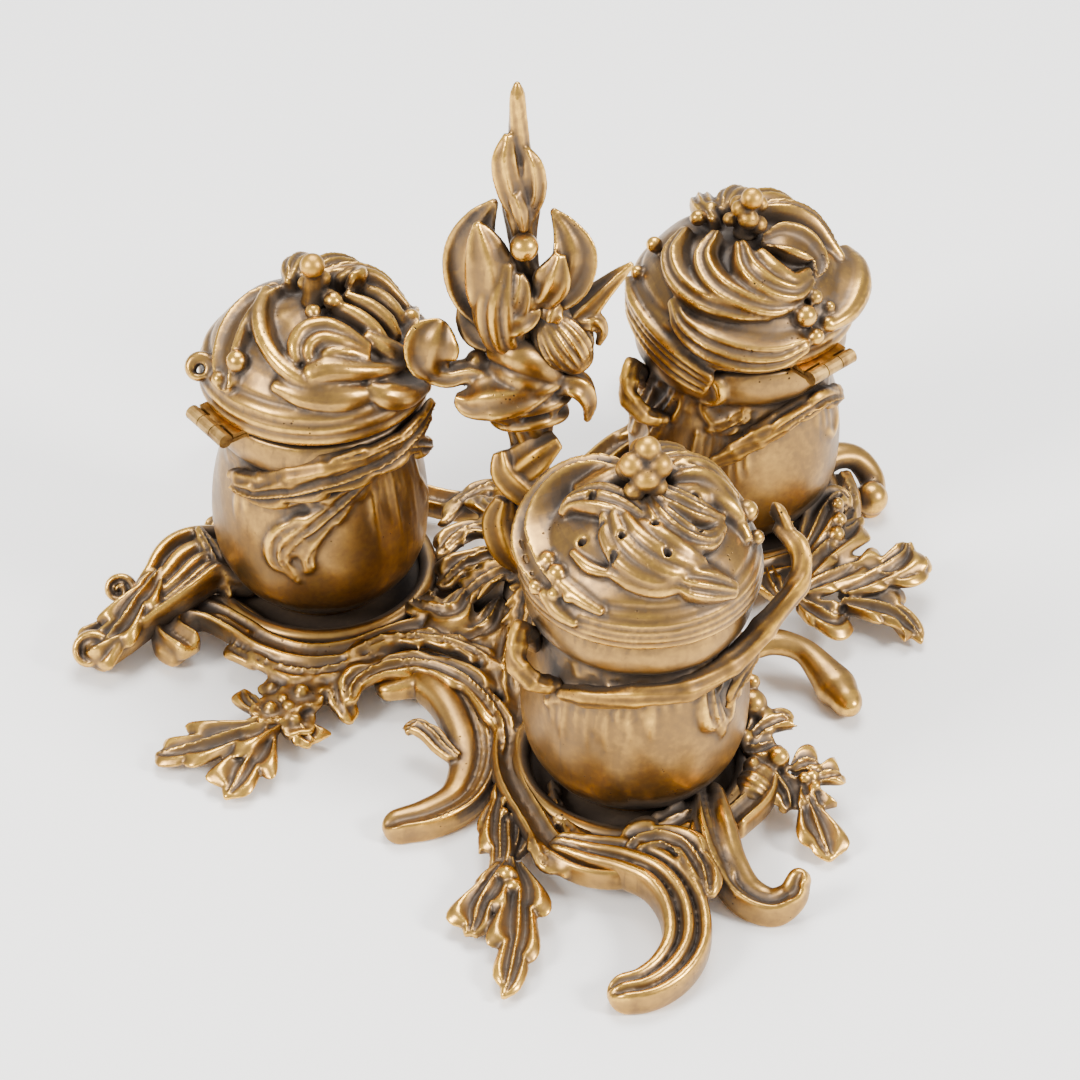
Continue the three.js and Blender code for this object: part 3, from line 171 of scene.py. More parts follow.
def carried(stations, section, count=60, over=(0, 0, 1), cap=0.7):
    """Rings of a section carried along a smooth line. A station is x, y, z, half width and half
    height. A ring's points are the line's point, plus left times across times the half width, plus
    above times up times the half height. At each end the rings shrink over a quarter circle."""
    line = along(stations, count)
    ahead, left, above = framed(line[:, :3], over)
    section = np.broadcast_to(np.asarray(section, float), (count,) + np.shape(section)[-2:])
    rows = (line[:, None, :3] + left[:, None] * (section[..., :1] * line[:, None, 3:4])
            + above[:, None] * (section[..., 1:] * line[:, None, 4:5]))
    turn = np.radians([78, 62, 45, 28, 13])
    ends = []
    for i, way, order in ((0, -1, 1), (count - 1, 1, -1)):
        shrink = np.cos(turn)[:, None, None]
        push = way * np.sin(turn)[:, None, None] * cap * min(line[i, 3], line[i, 4]) * ahead[i]
        ends.append((line[i, :3] + (rows[i] - line[i, :3]) * shrink + push)[::order])
    return np.concatenate([ends[0], rows, ends[1]])


side_turn = np.radians(np.linspace(0, 80, 7))
rounded_side = np.stack([0.72 + 0.28 * np.cos(side_turn), -np.sin(side_turn)], 1)
rounded_under = np.concatenate([rounded_side, rounded_side[::-1] * [-1, 1]])
across_section = np.linspace(-1, 1, 48)


def moulded(rolls, floor=0.1):
    """A section with rounded sides and a flat underside. Above its floor stands the highest of the
    half-round rolls, each given by its place across, its half width and its height."""
    top = np.full(len(across_section), float(floor))
    for place, spread, height in rolls:
        inside = np.clip(1 - ((across_section - place) / spread) ** 2, 0, None)
        top = np.maximum(top, floor + (height - floor) * np.sqrt(inside))
    return np.concatenate([np.stack([across_section, top], 1), rounded_under])


def turned_rows(profile, centre, columns=120):
    """Rings about an upright axis through the centre, one per radius and height of the profile."""
    profile = np.asarray(profile, float)
    angle = np.linspace(0, 2 * np.pi, columns, endpoint=False)
    rows = np.empty((len(profile), columns, 3))
    rows[..., 0] = centre[0] + profile[:, :1] * np.cos(angle)
    rows[..., 1] = centre[1] + profile[:, :1] * np.sin(angle)
    rows[..., 2] = centre[2] + profile[:, 1:]
    return rows


def closed(rows):
    """Corners, four-sided and three-sided faces of a closed form. Each ring is joined to the next,
    and each end ring to a pole at its mean. The faces are turned so that the volume is positive."""
    n, m = rows.shape[:2]
    corners = np.concatenate([rows.reshape(-1, 3), rows[:1].mean(1), rows[-1:].mean(1)])
    i, k = np.meshgrid(np.arange(n - 1), np.arange(m), indexing="ij")
    a, b = i * m + k, i * m + (k + 1) % m
    quads = np.stack([a, b, b + m, a + m], -1).reshape(-1, 4)
    k = np.arange(m)
    low = np.stack([(k + 1) % m, k, np.full(m, n * m)], -1)
    high = np.stack([(n - 1) * m + k, (n - 1) * m + (k + 1) % m, np.full(m, n * m + 1)], -1)
    tris = np.concatenate([low, high])
    p = corners - corners.mean(0)
    volume = (p[quads[:, 0]] * np.cross(p[quads[:, 1]], p[quads[:, 2]])).sum()
    volume += (p[quads[:, 0]] * np.cross(p[quads[:, 2]], p[quads[:, 3]])).sum()
    volume += (p[tris[:, 0]] * np.cross(p[tris[:, 1]], p[tris[:, 2]])).sum()
    return (corners, quads, tris) if volume > 0 else (corners, quads[:, ::-1], tris[:, ::-1])


def mesh_numbers(mesh):
    """The places of a mesh's points and the pairs of points that its edges join."""
    places = np.empty(len(mesh.vertices) * 3, np.float32)
    edges = np.empty(len(mesh.edges) * 2, np.int32)
    mesh.vertices.foreach_get("co", places)
    mesh.edges.foreach_get("vertices", edges)
    return places.reshape(-1, 3).astype(float), edges.reshape(-1, 2)


def meaned(places, edges, rounds):
    """Each place moved halfway to the mean of its neighbours, so many times over."""
    shares = np.maximum(np.bincount(edges.ravel(), minlength=len(places)), 1)[:, None]
    for _ in range(rounds):
        total = np.stack([np.bincount(edges[:, 0], places[edges[:, 1], k], len(places))
                          + np.bincount(edges[:, 1], places[edges[:, 0], k], len(places))
                          for k in range(3)], 1)
        places = 0.5 * places + 0.5 * total / shares
    return places


def run_together(mesh, grain, rounds=3):
    """One skin round all the closed forms of a mesh, as metal has when it is poured. The skin is
    laid in squares with the grain as their side, and then each corner moves halfway to the mean of
    its neighbours, so many times over."""
    mould = bpy.data.objects.new("mould", mesh)
    bpy.context.scene.collection.objects.link(mould)
    skin = mould.modifiers.new("skin", "REMESH")
    skin.mode, skin.voxel_size = "VOXEL", grain / 1000
    poured = bpy.data.meshes.new_from_object(mould.evaluated_get(bpy.context.evaluated_depsgraph_get()))
    bpy.data.objects.remove(mould)
    places, edges = mesh_numbers(poured)
    poured.vertices.foreach_set("co", meaned(places, edges, rounds).astype(np.float32).ravel())
    poured.update()
    poured.polygons.foreach_set("use_smooth", np.ones(len(poured.polygons), bool))
    return poured


def cast(name, forms, finish, body, nodes, grain=0.5):
    """One casting made of closed forms that run into each other. It rides on its body and stands
    for its CAD nodes. What would reach into the desk is filed flat, and where the grain is above
    zero, the forms get one skin."""
    corners, quads, tris, start = [], [], [], 0
    for rows in forms:
        c, q, t = closed(rows)
        corners.append(c)
        quads.append(q + start)
        tris.append(t + start)
        start += len(c)
    corners, quads, tris = np.concatenate(corners), np.concatenate(quads), np.concatenate(tris)
    corners[:, 2] = np.maximum(corners[:, 2], least_clearance)
    mesh = bpy.data.meshes.new(name)
    mesh.vertices.add(len(corners))
    mesh.vertices.foreach_set("co", (corners / 1000).astype(np.float32).ravel())
    loops = np.concatenate([quads.ravel(), tris.ravel()]).astype(np.int32)
    mesh.loops.add(len(loops))
    mesh.loops.foreach_set("vertex_index", loops)
    starts = np.concatenate([np.arange(len(quads)) * 4, len(quads) * 4 + np.arange(len(tris)) * 3])
    mesh.polygons.add(len(starts))
    mesh.polygons.foreach_set("loop_start", starts.astype(np.int32))
    mesh.update(calc_edges=True)
    mesh.polygons.foreach_set("use_smooth", np.ones(len(starts), bool))
    if grain > 0:
        loose, mesh = mesh, run_together(mesh, grain)
        bpy.data.meshes.remove(loose)
        mesh.name = name
    mesh.materials.clear()
    mesh.materials.append(finish)
    piece = bpy.data.objects.new(name, mesh)
    bpy.context.scene.collection.objects.link(piece)
    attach(piece, body)
    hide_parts(*nodes)
    castings.append(piece)
    return piece


def bare_finish(name):
    """A new material with its node tree and its shader."""
    material = bpy.data.materials.new(name)
    material.use_nodes = True
    return material, material.node_tree, material.node_tree.nodes["Principled BSDF"]


def shader_node(tree, kind, inputs=(), **settings):
    """The outputs of a new node in the tree, with its inputs set or linked."""
    made = tree.nodes.new(kind)
    for key, value in settings.items():
        setattr(made, key, value)
    for key, value in dict(inputs).items():
        if isinstance(value, bpy.types.NodeSocket):
            tree.links.new(value, made.inputs[key])
        else:
            made.inputs[key].default_value = value
    return made.outputs


def tone_ramp(tree, tone, colours):
    """The colour on a ramp at a tone, from pairs of a place on the ramp and a colour."""
    ramp = tree.nodes.new("ShaderNodeValToRGB")
    for place, colour in colours[1:-1]:
        ramp.color_ramp.elements.new(place)
    for element, (place, colour) in zip(ramp.color_ramp.elements, colours):
        element.position = place
        element.color = [*colour, 1]
    tree.links.new(tone, ramp.inputs["Fac"])
    return ramp.outputs["Color"]


gilt_tones = [(0.0, (0.038, 0.026, 0.018)), (0.25, (0.098, 0.067, 0.043)), (0.45, (0.160, 0.102, 0.054)),
              (0.65, (0.250, 0.145, 0.053)), (0.85, (0.450, 0.255, 0.065)), (1.0, (0.870, 0.500, 0.088))]
pit_colour = (0.05, 0.03, 0.017, 1)


def gilding(name, tint, rough):
    """Old fire gilding. A per-point attribute runs from 0 in a hollow, which holds brown dirt and wax and
    is also darkened as painted shade, to 1 on a rubbed crest, and broad and fine noise break it up. It
    sets the colour by a ramp, so the dark end is partly painted shade, and the roughness by a straight
    line. Small casting pits are dark and sunk."""
    material, tree, skin = bare_finish(name)
    node = partial(shader_node, tree)
    place = node("ShaderNodeTexCoord")["Object"]
    # This attribute carries wear on rubbed crests and painted shade where metal crowds in front of a
    # point.
    tone = node("ShaderNodeAttribute", attribute_name="wear_and_shade")["Fac"]
    cloud = node("ShaderNodeTexNoise", {"Vector": place, "Scale": 70.0, "Detail": 5.0})["Fac"]
    grain = node("ShaderNodeTexNoise", {"Vector": place, "Scale": 520.0, "Detail": 4.0})["Fac"]
    cloud = node("ShaderNodeMath", {0: cloud, 1: 0.45, 2: -0.225}, operation="MULTIPLY_ADD")[0]
    grain = node("ShaderNodeMath", {0: grain, 1: 0.26, 2: -0.13}, operation="MULTIPLY_ADD")[0]
    tone = node("ShaderNodeMath", {0: tone, 1: cloud}, operation="ADD")[0]
    tone = node("ShaderNodeMath", {0: tone, 1: grain}, operation="ADD", use_clamp=True)[0]
    cells = node("ShaderNodeTexVoronoi", {"Vector": place, "Scale": 620.0})["Distance"]
    patch = node("ShaderNodeTexNoise", {"Vector": place, "Scale": 130.0, "Detail": 2.0})["Fac"]
    patch = node("ShaderNodeMapRange", {"Value": patch, "From Min": 0.52, "From Max": 0.72,
                                        "To Max": 0.26})["Result"]
    pit = node("ShaderNodeMath", {0: patch, 1: cells}, operation="SUBTRACT")[0]
    pit = node("ShaderNodeMapRange", {"Value": pit, "From Min": 0.0, "From Max": 0.08})["Result"]
    colour = tone_ramp(tree, tone, [(spot, [min(1, part * share) for part, share in zip(gilt, tint)])
                                    for spot, gilt in gilt_tones])
    colour = node("ShaderNodeMixRGB", {"Fac": pit, "Color1": colour, "Color2": pit_colour})["Color"]
    tree.links.new(colour, skin.inputs["Base Color"])
    dull = node("ShaderNodeMapRange", {"Value": tone, "To Min": rough + 0.22, "To Max": rough - 0.1})
    tree.links.new(dull["Result"], skin.inputs["Roughness"])
    metal = node("ShaderNodeMapRange", {"Value": tone, "From Max": 0.55, "To Min": 0.3, "To Max": 1.0})
    tree.links.new(metal["Result"], skin.inputs["Metallic"])
    height = node("ShaderNodeMath", {0: pit, 1: -1.0, 2: grain}, operation="MULTIPLY_ADD")[0]
    bump = node("ShaderNodeBump", {"Height": height, "Strength": 0.35, "Distance": 0.00035})
    tree.links.new(bump["Normal"], skin.inputs["Normal"])
    return material


old_gilding = gilding("old_gilding", (1, 1, 1), 0.36)


def rays(rows):
    """The way from the eye through each row's pixel."""
    return ((rows[:, :1] - frame_pixels / 2) * right - (rows[:, 1:2] - frame_pixels / 2) * up
            - pixels_per_mm * camera_distance * back)


def at_pixel(rows):
    """Stations on the camera's rays. Each row's pixel gives a ray from the eye, the third number is
    the height at which the station lies on that ray, and the other columns are kept."""
    rows = np.asarray(rows, float)
    ray = rays(rows)
    far = (rows[:, 2:3] - eye[2] * 1000) / ray[:, 2:]
    return np.hstack([eye * 1000 + far * ray, rows[:, 3:]])


def beside(about, rows):
    """Stations of a foot, from rows of x and y in tray radii from the axis of a pot or of the hub,
    the height in rim heights, and the half width and half height in those of a plain foot."""
    sizes = [tray_radius, tray_radius, rim_top, foot_wide, foot_tall]
    return np.asarray(rows, float) * sizes + [*centre_of[about][:2], 0, 0, 0]


def leaf(stations, lobes=3, notch=0.34, cup=0.12, lean=0.8, over=(0, 0, 1), flutes=3, count=110,
         points=56):
    """A cast leaf, closed all round. Each lobe swells like a sine of a power of the way along it, so
    that it fills slowly and ends short. The two sides are a third of a lobe out of step, and a sine
    of the lobe's number makes each a little wider or narrower. Edges lead the midrib by lean half
    widths and rise by cup half widths. On top a rib stands in the middle between two grooves, and
    shallow flutes, a cosine of the way across, run from it into the lobes. With no notch it is a
    plain petal."""
    line = along(stations, count)
    ahead, left, above = framed(line[:, :3], over)
    turn = np.linspace(0, 2 * np.pi, points, endpoint=False)
    across, thick = np.cos(turn), np.sin(turn)
    side, top = np.abs(across), np.clip(thick, 0, None) ** 0.5
    phase = lobes * np.linspace(0.04, 1, count)[:, None] + np.where(across > 0, 0.0, 0.35)
    which, way = np.floor(phase), phase % 1
    swell = np.sin(np.pi * way ** 1.7) ** 0.8
    uneven = 1 + 0.4 * notch * np.sin(2.7 * which + 2 * np.sign(across))
    wide = line[:, 3:4] * (1 - notch * (1 - swell)) * uneven
    rib = 0.3 * np.exp(-(across / 0.09) ** 2) - 0.3 * np.exp(-((side - 0.24) / 0.14) ** 2)
    fold = 0.22 * np.cos(flutes * np.pi * side) + notch * (swell - 0.4) * side
    rise = line[:, 4:5] * (0.7 * thick + top * ((rib if notch else 0) + fold)) + cup * wide * side ** 2
    return (line[:, None, :3] + left[:, None] * (wide * across)[..., None]
            + above[:, None] * rise[..., None] + ahead[:, None] * (lean * wide * side ** 1.6)[..., None])


def berry(centre, radius, squash=1.0):
    """A ball, as rings of a circle's cosine at the heights of its sine."""
    turn = np.radians(np.linspace(-86, 86, 13))
    profile = np.stack([radius * np.cos(turn), radius * squash * np.sin(turn)], 1)
    return turned_rows(profile, centre, 20)


def berries(rows):
    """A ball at each row's place, with the row's fourth number as its radius."""
    return [berry(row[:3], row[3]) for row in rows]


def rosette(centre, radius, petals=5):
    """A round flower that faces up. Its rim is drawn in between the petals by a cosine, each petal
    is hollowed along its middle, and the underside is flat."""
    spread = np.concatenate([np.linspace(0.04, 1, 16), np.linspace(0.97, 0.04, 5)])[:, None]
    top = (np.arange(len(spread)) < 16)[:, None]
    turn = np.linspace(0, 2 * np.pi, 80, endpoint=False)
    petal = np.abs(np.cos(petals * turn / 2)) ** 0.6
    reach = radius * spread * (0.72 + 0.28 * petal)
    lift = radius * np.where(top, 0.28 * np.sqrt(spread) * (0.5 + 0.7 * petal)
                             - 0.16 * spread * petal ** 6, -0.2)
    upward = np.array([0.0, 0.0, 1.0])
    sideways = unit(np.cross(upward, (0.3, 1, 0.1)))
    round_about = (np.cos(turn)[None, :, None] * sideways
                   + np.sin(turn)[None, :, None] * np.cross(upward, sideways))
    return np.asarray(centre, float) + reach[..., None] * round_about + lift[..., None] * upward


def flower(pixels):
    """Rosettes with a ball in the middle, from rows of pixel, height and radius."""
    made = []
    for x, y, z, radius in at_pixel(pixels):
        made.append(rosette((x, y, z), radius))
        made.append(berry((x, y, z + 0.3 * radius), 0.3 * radius))
    return made


rail_rolls = moulded([(-0.72, 0.3, 0.9), (-0.3, 0.14, 0.6), (0.2, 0.3, 0.35), (0.76, 0.26, 0.85)], 0)
rail_routes = [
    [("left", 207, 1.5), ("left", 197, 1.52), ("left", 190, 1.36), ("left", 196, 1.16),
     ("left", 213, 1.07), ("left", 232, 1.13), ("left", 250, 1.18), ("left", 268, 1.16),
     ("left", 284, 1.12), ("left", 299, 1.2), ("hub", 203, 0.957), ("hub", 226, 1.063),
     ("front", 132, 1.1), ("front", 155, 1.04), ("front", 180, 1.04), ("front", 204, 1.1),
     ("front", 221, 1.25), ("front", 236, 1.34), ("front", 248, 1.32), ("front", 260, 1.2)],
    [("front", 300, 1.1), ("front", 322, 1.12), ("front", 345, 1.06), ("front", 8, 1.04),
     ("front", 32, 1.08), ("hub", 316, 1.063), ("hub", 338, 1.0), ("right", 262, 1.12),
     ("right", 285, 1.08), ("right", 310, 1.08), ("right", 336, 1.05), ("right", 358, 1.02)],
    [("right", 62, 1.08), ("right", 92, 1.12), ("right", 124, 1.2), ("hub", 74, 1.574),
     ("hub", 90, 1.616), ("hub", 106, 1.574), ("left", 56, 1.2), ("left", 88, 1.12),
     ("left", 118, 1.08)],
]


def round_pot(about, rows):
    """Stations round an axis, from rows of the angle, the radius, the height and the sizes."""
    rows = np.asarray(rows, float)
    turn = np.radians(rows[:, 0])
    at = centre_of[about][:2] + rows[:, 1:2] * np.stack([np.cos(turn), np.sin(turn)], 1)
    return np.hstack([at, rows[:, 2:]])


border_forms = []
for route in rail_routes:
    stations = np.vstack([
        round_pot(about, [(angle, tray_radius * share, rail_middle, rail_wide, rail_tall)])
        for about, angle, share in route])
    border_forms.append(carried(stations, rail_rolls, 26 * len(route)))
rail_curl = at_pixel([(256, 632, 9, 4.4, 4), (224, 614, 9, 5, 4), (192, 614, 8.4, 5.4, 4),
                      (171, 628, 7.2, 5, 4), (168, 646, 5.6, 4.4, 3.6), (178, 656, 4.4, 3.6, 3.2)])
border_forms.append(carried(rail_curl, rail_rolls, 60))

rim_turn = np.radians(np.linspace(-20, 200, 22))
tray_profile = np.concatenate([
    [(1, 5.5), (33.2, 5.5), (34, 6.4)],
    np.stack([31.4 + 2.6 * np.cos(rim_turn), 10.0 + 2.5 * np.sin(rim_turn)], 1),
    [(28.5, 8.4), (27.6, 8.0), (24, 8.0), (1, 8.0)],
])
stand_forms = []
for about in ("left", "right", "front"):
    stand_forms.append(turned_rows(tray_profile, centre_of[about]))
    ends = np.array([stem_foot, centre_of[about]])
    web = np.hstack([ends + [0, 0, web_middle], [[web_wide, web_tall]] * 2])
    stand_forms.append(carried(web, moulded([(0, 1, 1)], 0.0), 12, cap=0.1))
hub_profile = [(1, 5.5), (22.5, 5.5), (23, 6.5), (22, 8), (16, 9.2), (11.5, 12), (10, 12.5), (1, 12.5)]
stand_forms.append(turned_rows(hub_profile, stem_foot))

rim_leaves = [
    ([(258, 668, 8, 3, 2.4), (244, 657, 8, 4, 2.6), (229, 649, 7, 1.6, 2)], 1),
    ([(250, 656, 9, 3, 2.2), (272, 668, 9, 4.4, 3), (300, 675, 9, 4.6, 3), (330, 673, 9.5, 4.4, 3),
      (360, 664, 10.5, 4, 2.8), (396, 650, 11, 2, 2)], 4),
    ([(344, 658, 12, 2.4, 2), (380, 642, 13, 3.6, 2.6), (420, 640, 13.5, 4, 2.8),
      (456, 646, 13.5, 4, 2.8), (486, 660, 13, 3.4, 2.4), (508, 676, 12, 2, 2)], 6),
    ([(349, 706, 8, 2.6, 2.2), (353, 690, 10, 5, 2.8), (370, 675, 11.5, 5.6, 3.2),
      (400, 667, 12, 6, 3.4), (434, 669, 12.5, 6, 3.4), (466, 684, 12.5, 5.6, 3.4),
      (491, 708, 12, 5, 3.2), (504, 736, 10.5, 4.4, 3), (503, 762, 9, 3.4, 2.8),
      (495, 780, 8, 1.2, 1.6)], 5),
    ([(333, 676, 9, 2, 2), (338, 694, 8, 4.4, 2.6), (343, 710, 6, 3.6, 2.4), (351, 724, 4, 0.8, 1.4)], 1),
    ([(552, 782, 9, 2, 1.8), (556, 806, 9.5, 3, 2.4), (570, 828, 10, 3.4, 2.4), (594, 844, 10, 3.2, 2.4),
      (624, 856, 10, 2, 2)], 6),
    ([(531, 836, 11, 2, 2), (536, 850, 11, 3, 2.6), (546, 864, 10, 2.6, 2.2), (566, 876, 9, 1, 1.6)], 2),
    ([(632, 854, 9, 3, 2.4), (650, 836, 11, 6, 3), (676, 822, 12, 7, 3.2), (704, 810, 12, 5, 2.6)], 4),
    ([(470, 590, 12, 3, 2.6), (450, 612, 13, 8, 3.4), (430, 610, 12, 7, 3), (408, 600, 10, 2, 2)], 2),
    ([(502, 600, 12, 3, 2.6), (484, 630, 12, 8, 3.4), (464, 640, 11, 7, 3), (440, 640, 9, 2, 2)], 2),
    ([(505, 556, 14, 3, 2.6), (480, 560, 14, 7, 3.4), (460, 570, 13, 6, 3), (440, 588, 10, 2, 2)], 2),
    ([(514, 610, 12, 3, 2.6), (507, 648, 12, 7, 3.2), (504, 680, 11, 6, 3), (512, 708, 9, 2, 2)], 2),
    ([(500, 536, 14, 3, 2.6), (478, 530, 13, 6, 3.2), (456, 540, 12, 5, 3), (436, 560, 10, 2, 2)], 2),
    ([(496, 520, 15, 3, 2.4), (486, 508, 15, 5, 3), (478, 500, 14, 2, 2)], 1),
]
for pixels, lobes in rim_leaves:
    border_forms.append(leaf(at_pixel(pixels), lobes))
rim_flowers = [(271, 712, 8.5, 6.4), (302, 696, 9, 7.2), (296, 724, 6.5, 6.4), (272, 690, 8, 4.6)]
back_rim_leaves = {
    "left": [([(150, 36, 11, 1.4, 1.8), (134, 37, 12, 3.6, 2.6), (114, 38, 12.6, 4.4, 3),
               (92, 39.5, 12.8, 4.4, 3), (72, 40, 12.4, 3.6, 2.6), (56, 41, 11, 1.2, 1.8)], 5),
             ([(44, 43, 11, 1.4, 1.8), (58, 41.5, 11.6, 3, 2.4), (74, 42.5, 10.6, 1.4, 1.8)], 2)],
    "right": [([(30, 36, 11, 1.4, 1.8), (48, 37, 12, 3.6, 2.6), (68, 38, 12.6, 4.4, 3),
                (90, 39, 12.8, 4.4, 3), (110, 40.5, 12.4, 3.6, 2.6), (126, 42, 11, 1.2, 1.8)], 5),
              ([(0, 35.5, 11, 1.4, 1.8), (342, 36, 12, 3.6, 2.6), (322, 36.4, 12.4, 4, 2.8),
                (304, 36.6, 11, 1.4, 1.8)], 4)],
    "hub": [([(60, 50, 10.6, 1.4, 1.8), (74, 53.4, 12, 3.8, 2.8), (90, 55, 12.4, 4.6, 3),
              (106, 53.4, 12, 3.8, 2.8), (120, 50, 10.6, 1.4, 1.8)], 5)],
}
for about, leaves in back_rim_leaves.items():
    for rows, lobes in leaves:
        border_forms.append(leaf(round_pot(about, rows), lobes))
border_forms += flower(rim_flowers)
cast("stand_casting", stand_forms, old_gilding, "stand", ["stand"], grain=0)
cast("stand_border_casting", border_forms, old_gilding, "stand", ["stand"], grain=0.76)


# The feet: moulded scrolls that curl out and down to the desk
# Castings of their own, pinned under the stand's rim. The wide scrolls in front have deep channels,
# the left foot is a fluted shell that ends in two rolls, and the right one swells into a knob.

foot_stations = {
    "foot_left_scroll": beside("hub", [
        (-1.7, -0.6, 0.7, 0.7, 0.6), (-1.42, -0.6, 0.78, 1.1, 0.85), (-1.24, -0.85, 0.75, 1.25, 1),
        (-1.17, -1.24, 0.58, 1.3, 1), (-1.23, -1.62, 0.4, 1.2, 0.95), (-1.44, -1.95, 0.3, 1.05, 0.9),
        (-1.74, -2.08, 0.28, 0.95, 0.9), (-1.98, -2.1, 0.28, 0.8, 0.85)]),
    "foot_front_scroll": at_pixel([
        (566, 850, 10, 4, 4.4), (594, 857, 10.4, 5.4, 5), (626, 863, 10.6, 6.4, 5.2),
        (660, 878, 10, 6.8, 5.4), (682, 908, 8.4, 6.8, 5.4), (686, 946, 6.4, 6.6, 5.2),
        (670, 973, 5.2, 6.2, 4.8), (646, 989, 4.6, 5.6, 4.5), (628, 993, 4.5, 5, 4.4)]),
    "foot_front_right_scroll": beside("front", [
        (0.42, -0.72, 1, 0.8, 0.9), (0.37, -1.06, 0.95, 0.95, 1), (0.36, -1.36, 0.7, 0.95, 0.95),
        (0.44, -1.6, 0.38, 0.9, 0.9), (0.6, -1.76, 0.3, 0.85, 0.9), (0.76, -1.78, 0.55, 0.7, 0.7),
        (0.83, -1.74, 0.9, 0.55, 0.5)]),
    "foot_right_knob": beside("hub", [
        (0.95, -0.85, 0.7, 0.9, 0.8), (1.28, -1.02, 0.95, 0.85, 0.75), (1.55, -1.06, 1.05, 0.75, 0.7),
        (1.78, -1.18, 0.9, 0.65, 0.7), (1.9, -1.38, 0.64, 0.85, 0.95), (1.96, -1.53, 0.48, 1.02, 1.15),
        (1.99, -1.66, 0.42, 0.8, 0.95)]),
    "foot_back_right_scroll": beside("right", [
        (0.75, 0.1, 0.8, 0.9, 0.9), (1.04, 0.18, 1.05, 0.8, 0.8), (1.24, 0.14, 0.95, 0.7, 0.75),
        (1.35, -0.02, 0.5, 0.65, 0.9), (1.28, -0.2, 0.26, 0.65, 1)]),
    "foot_back_scroll": beside("right", [
        (-0.05, 0.8, 0.8, 0.8, 0.8), (0.15, 1.3, 0.95, 0.95, 0.9), (0.12, 1.7, 0.75, 1, 1),
        (0.38, 1.91, 0.34, 0.95, 0.95), (0.68, 1.87, 0.28, 0.75, 0.85)]),
    "foot_back_left_scroll": beside("left", [
        (0.05, 0.8, 0.8, 0.8, 0.8), (-0.15, 1.3, 0.95, 0.95, 0.9), (-0.12, 1.7, 0.75, 1, 1),
        (0.14, 1.95, 0.34, 0.95, 0.95), (0.44, 1.93, 0.28, 0.75, 0.85)]),
}
broad_scroll = moulded([(-0.4, 0.58, 0.9), (0.3, 0.14, 0.7), (0.52, 0.14, 0.8), (0.82, 0.18, 1)], 0.35)
three_rolls = moulded([(-0.68, 0.32, 0.9), (0.04, 0.3, 1), (0.72, 0.28, 0.9)], 0.3)
channelled = moulded([(-0.74, 0.26, 1), (-0.34, 0.14, 0.7), (0.42, 0.54, 0.9)], 0.3)
tube_turn = np.linspace(0, 2 * np.pi, 40, endpoint=False)
smooth_tube = np.stack([np.cos(tube_turn), np.sin(tube_turn)], 1)
thin_tube = smooth_tube[::2]

foot_rolls = {"foot_left_scroll": broad_scroll, "foot_front_scroll": three_rolls,
              "foot_front_right_scroll": channelled, "foot_right_knob": smooth_tube,
              "foot_back_right_scroll": smooth_tube, "foot_back_scroll": three_rolls,
              "foot_back_left_scroll": broad_scroll}
foot_leaves = {
    "foot_left_scroll": [([(458, 762, 8, 3, 2.6), (444, 750, 9, 3.6, 2.6), (431, 735, 10.5, 3.8, 2.6),
                           (418, 727, 11, 3.4, 2.2), (406, 731, 10, 1.4, 1.6)], 1)],
    "foot_front_scroll": [([(622, 862, 10, 3, 2.4), (634, 846, 13, 6, 3), (658, 838, 14, 7, 3.2),
                            (682, 846, 14, 7, 3.2), (700, 868, 12.5, 5, 3), (708, 896, 11, 2, 2)], 3)],
    "foot_front_right_scroll": [
        ([(700, 800, 12, 4, 2.6), (704, 826, 12.5, 6, 3.2), (712, 852, 11, 5, 3),
          (728, 884, 8, 1.6, 2)], 3)],
}
foot_knobs = {"foot_right_knob": ("hub", (2, -1.75, 0.42), 3.5),
              "foot_back_right_scroll": ("right", (1.26, -0.24, 0.5), 5.2)}
for name, stations in foot_stations.items():
    forms = [carried(stations, foot_rolls[name], 90, cap=1.3)]
    for pixels, lobes in foot_leaves.get(name, []):
        forms.append(leaf(at_pixel(pixels), lobes))
    if name in foot_knobs:
        about, spot, radius = foot_knobs[name]
        forms.append(berry(beside(about, [(*spot, 0, 0)])[0, :3], radius))
    cast(name + "_casting", forms, old_gilding, "stand", [name])

shell_stations = beside("left", [
    (-0.7, 0.18, 1, 2.4, 0.9), (-1.06, 0.13, 1.35, 2.2, 1.05), (-1.34, -0.08, 1.25, 1.7, 1),
    (-1.6, -0.24, 1, 1.25, 0.95), (-1.86, -0.36, 0.72, 1.05, 0.95), (-2.1, -0.42, 0.55, 1.15, 1.1)])
shell_flutes = moulded([(-0.8, 0.2, 0.8), (-0.3, 0.24, 0.75), (0.16, 0.2, 0.8), (0.5, 0.14, 0.8),
                        (0.82, 0.2, 1.15)], 0.1)
shell_leaves = [
    ([(162, 572, 17, 3, 2.4), (142, 598, 16.4, 7, 3.2), (126, 622, 13.4, 8, 3.4), (110, 644, 9.6, 6, 3.2),
      (98, 662, 6, 2.4, 2.2)], 3),
    ([(198, 528, 20, 2, 2), (212, 556, 19, 3.4, 2.6), (224, 580, 16, 3, 2.4), (230, 598, 12, 1, 2)], 2),
]
shell_rolls = [(91, 652, 7.4, 6, 1.5), (119, 590, 12, 4.6, 1.2)]
shell_forms = [carried(shell_stations, shell_flutes, 90)]
shell_forms += [leaf(at_pixel(pixels), lobes) for pixels, lobes in shell_leaves]


def volute(spot, radius, hollow, thickness):
    """A roll of metal seen from its end. It is a spiral of one turn and a half in the plane that
    faces the eye, whose radius shrinks in a straight line."""
    count = 60
    turn = np.linspace(0, 3 * np.pi, count)
    reach = np.linspace(radius, hollow * radius, count)
    rows = np.zeros((count, 5))
    rows[:, :3] = spot + reach[:, None] * (np.cos(turn)[:, None] * right + np.sin(turn)[:, None] * up)
    rows[:, 3], rows[:, 4] = np.linspace(thickness, 0.6 * thickness, count), 1.8 * thickness
    return carried(rows, thin_tube, count, tuple(back))


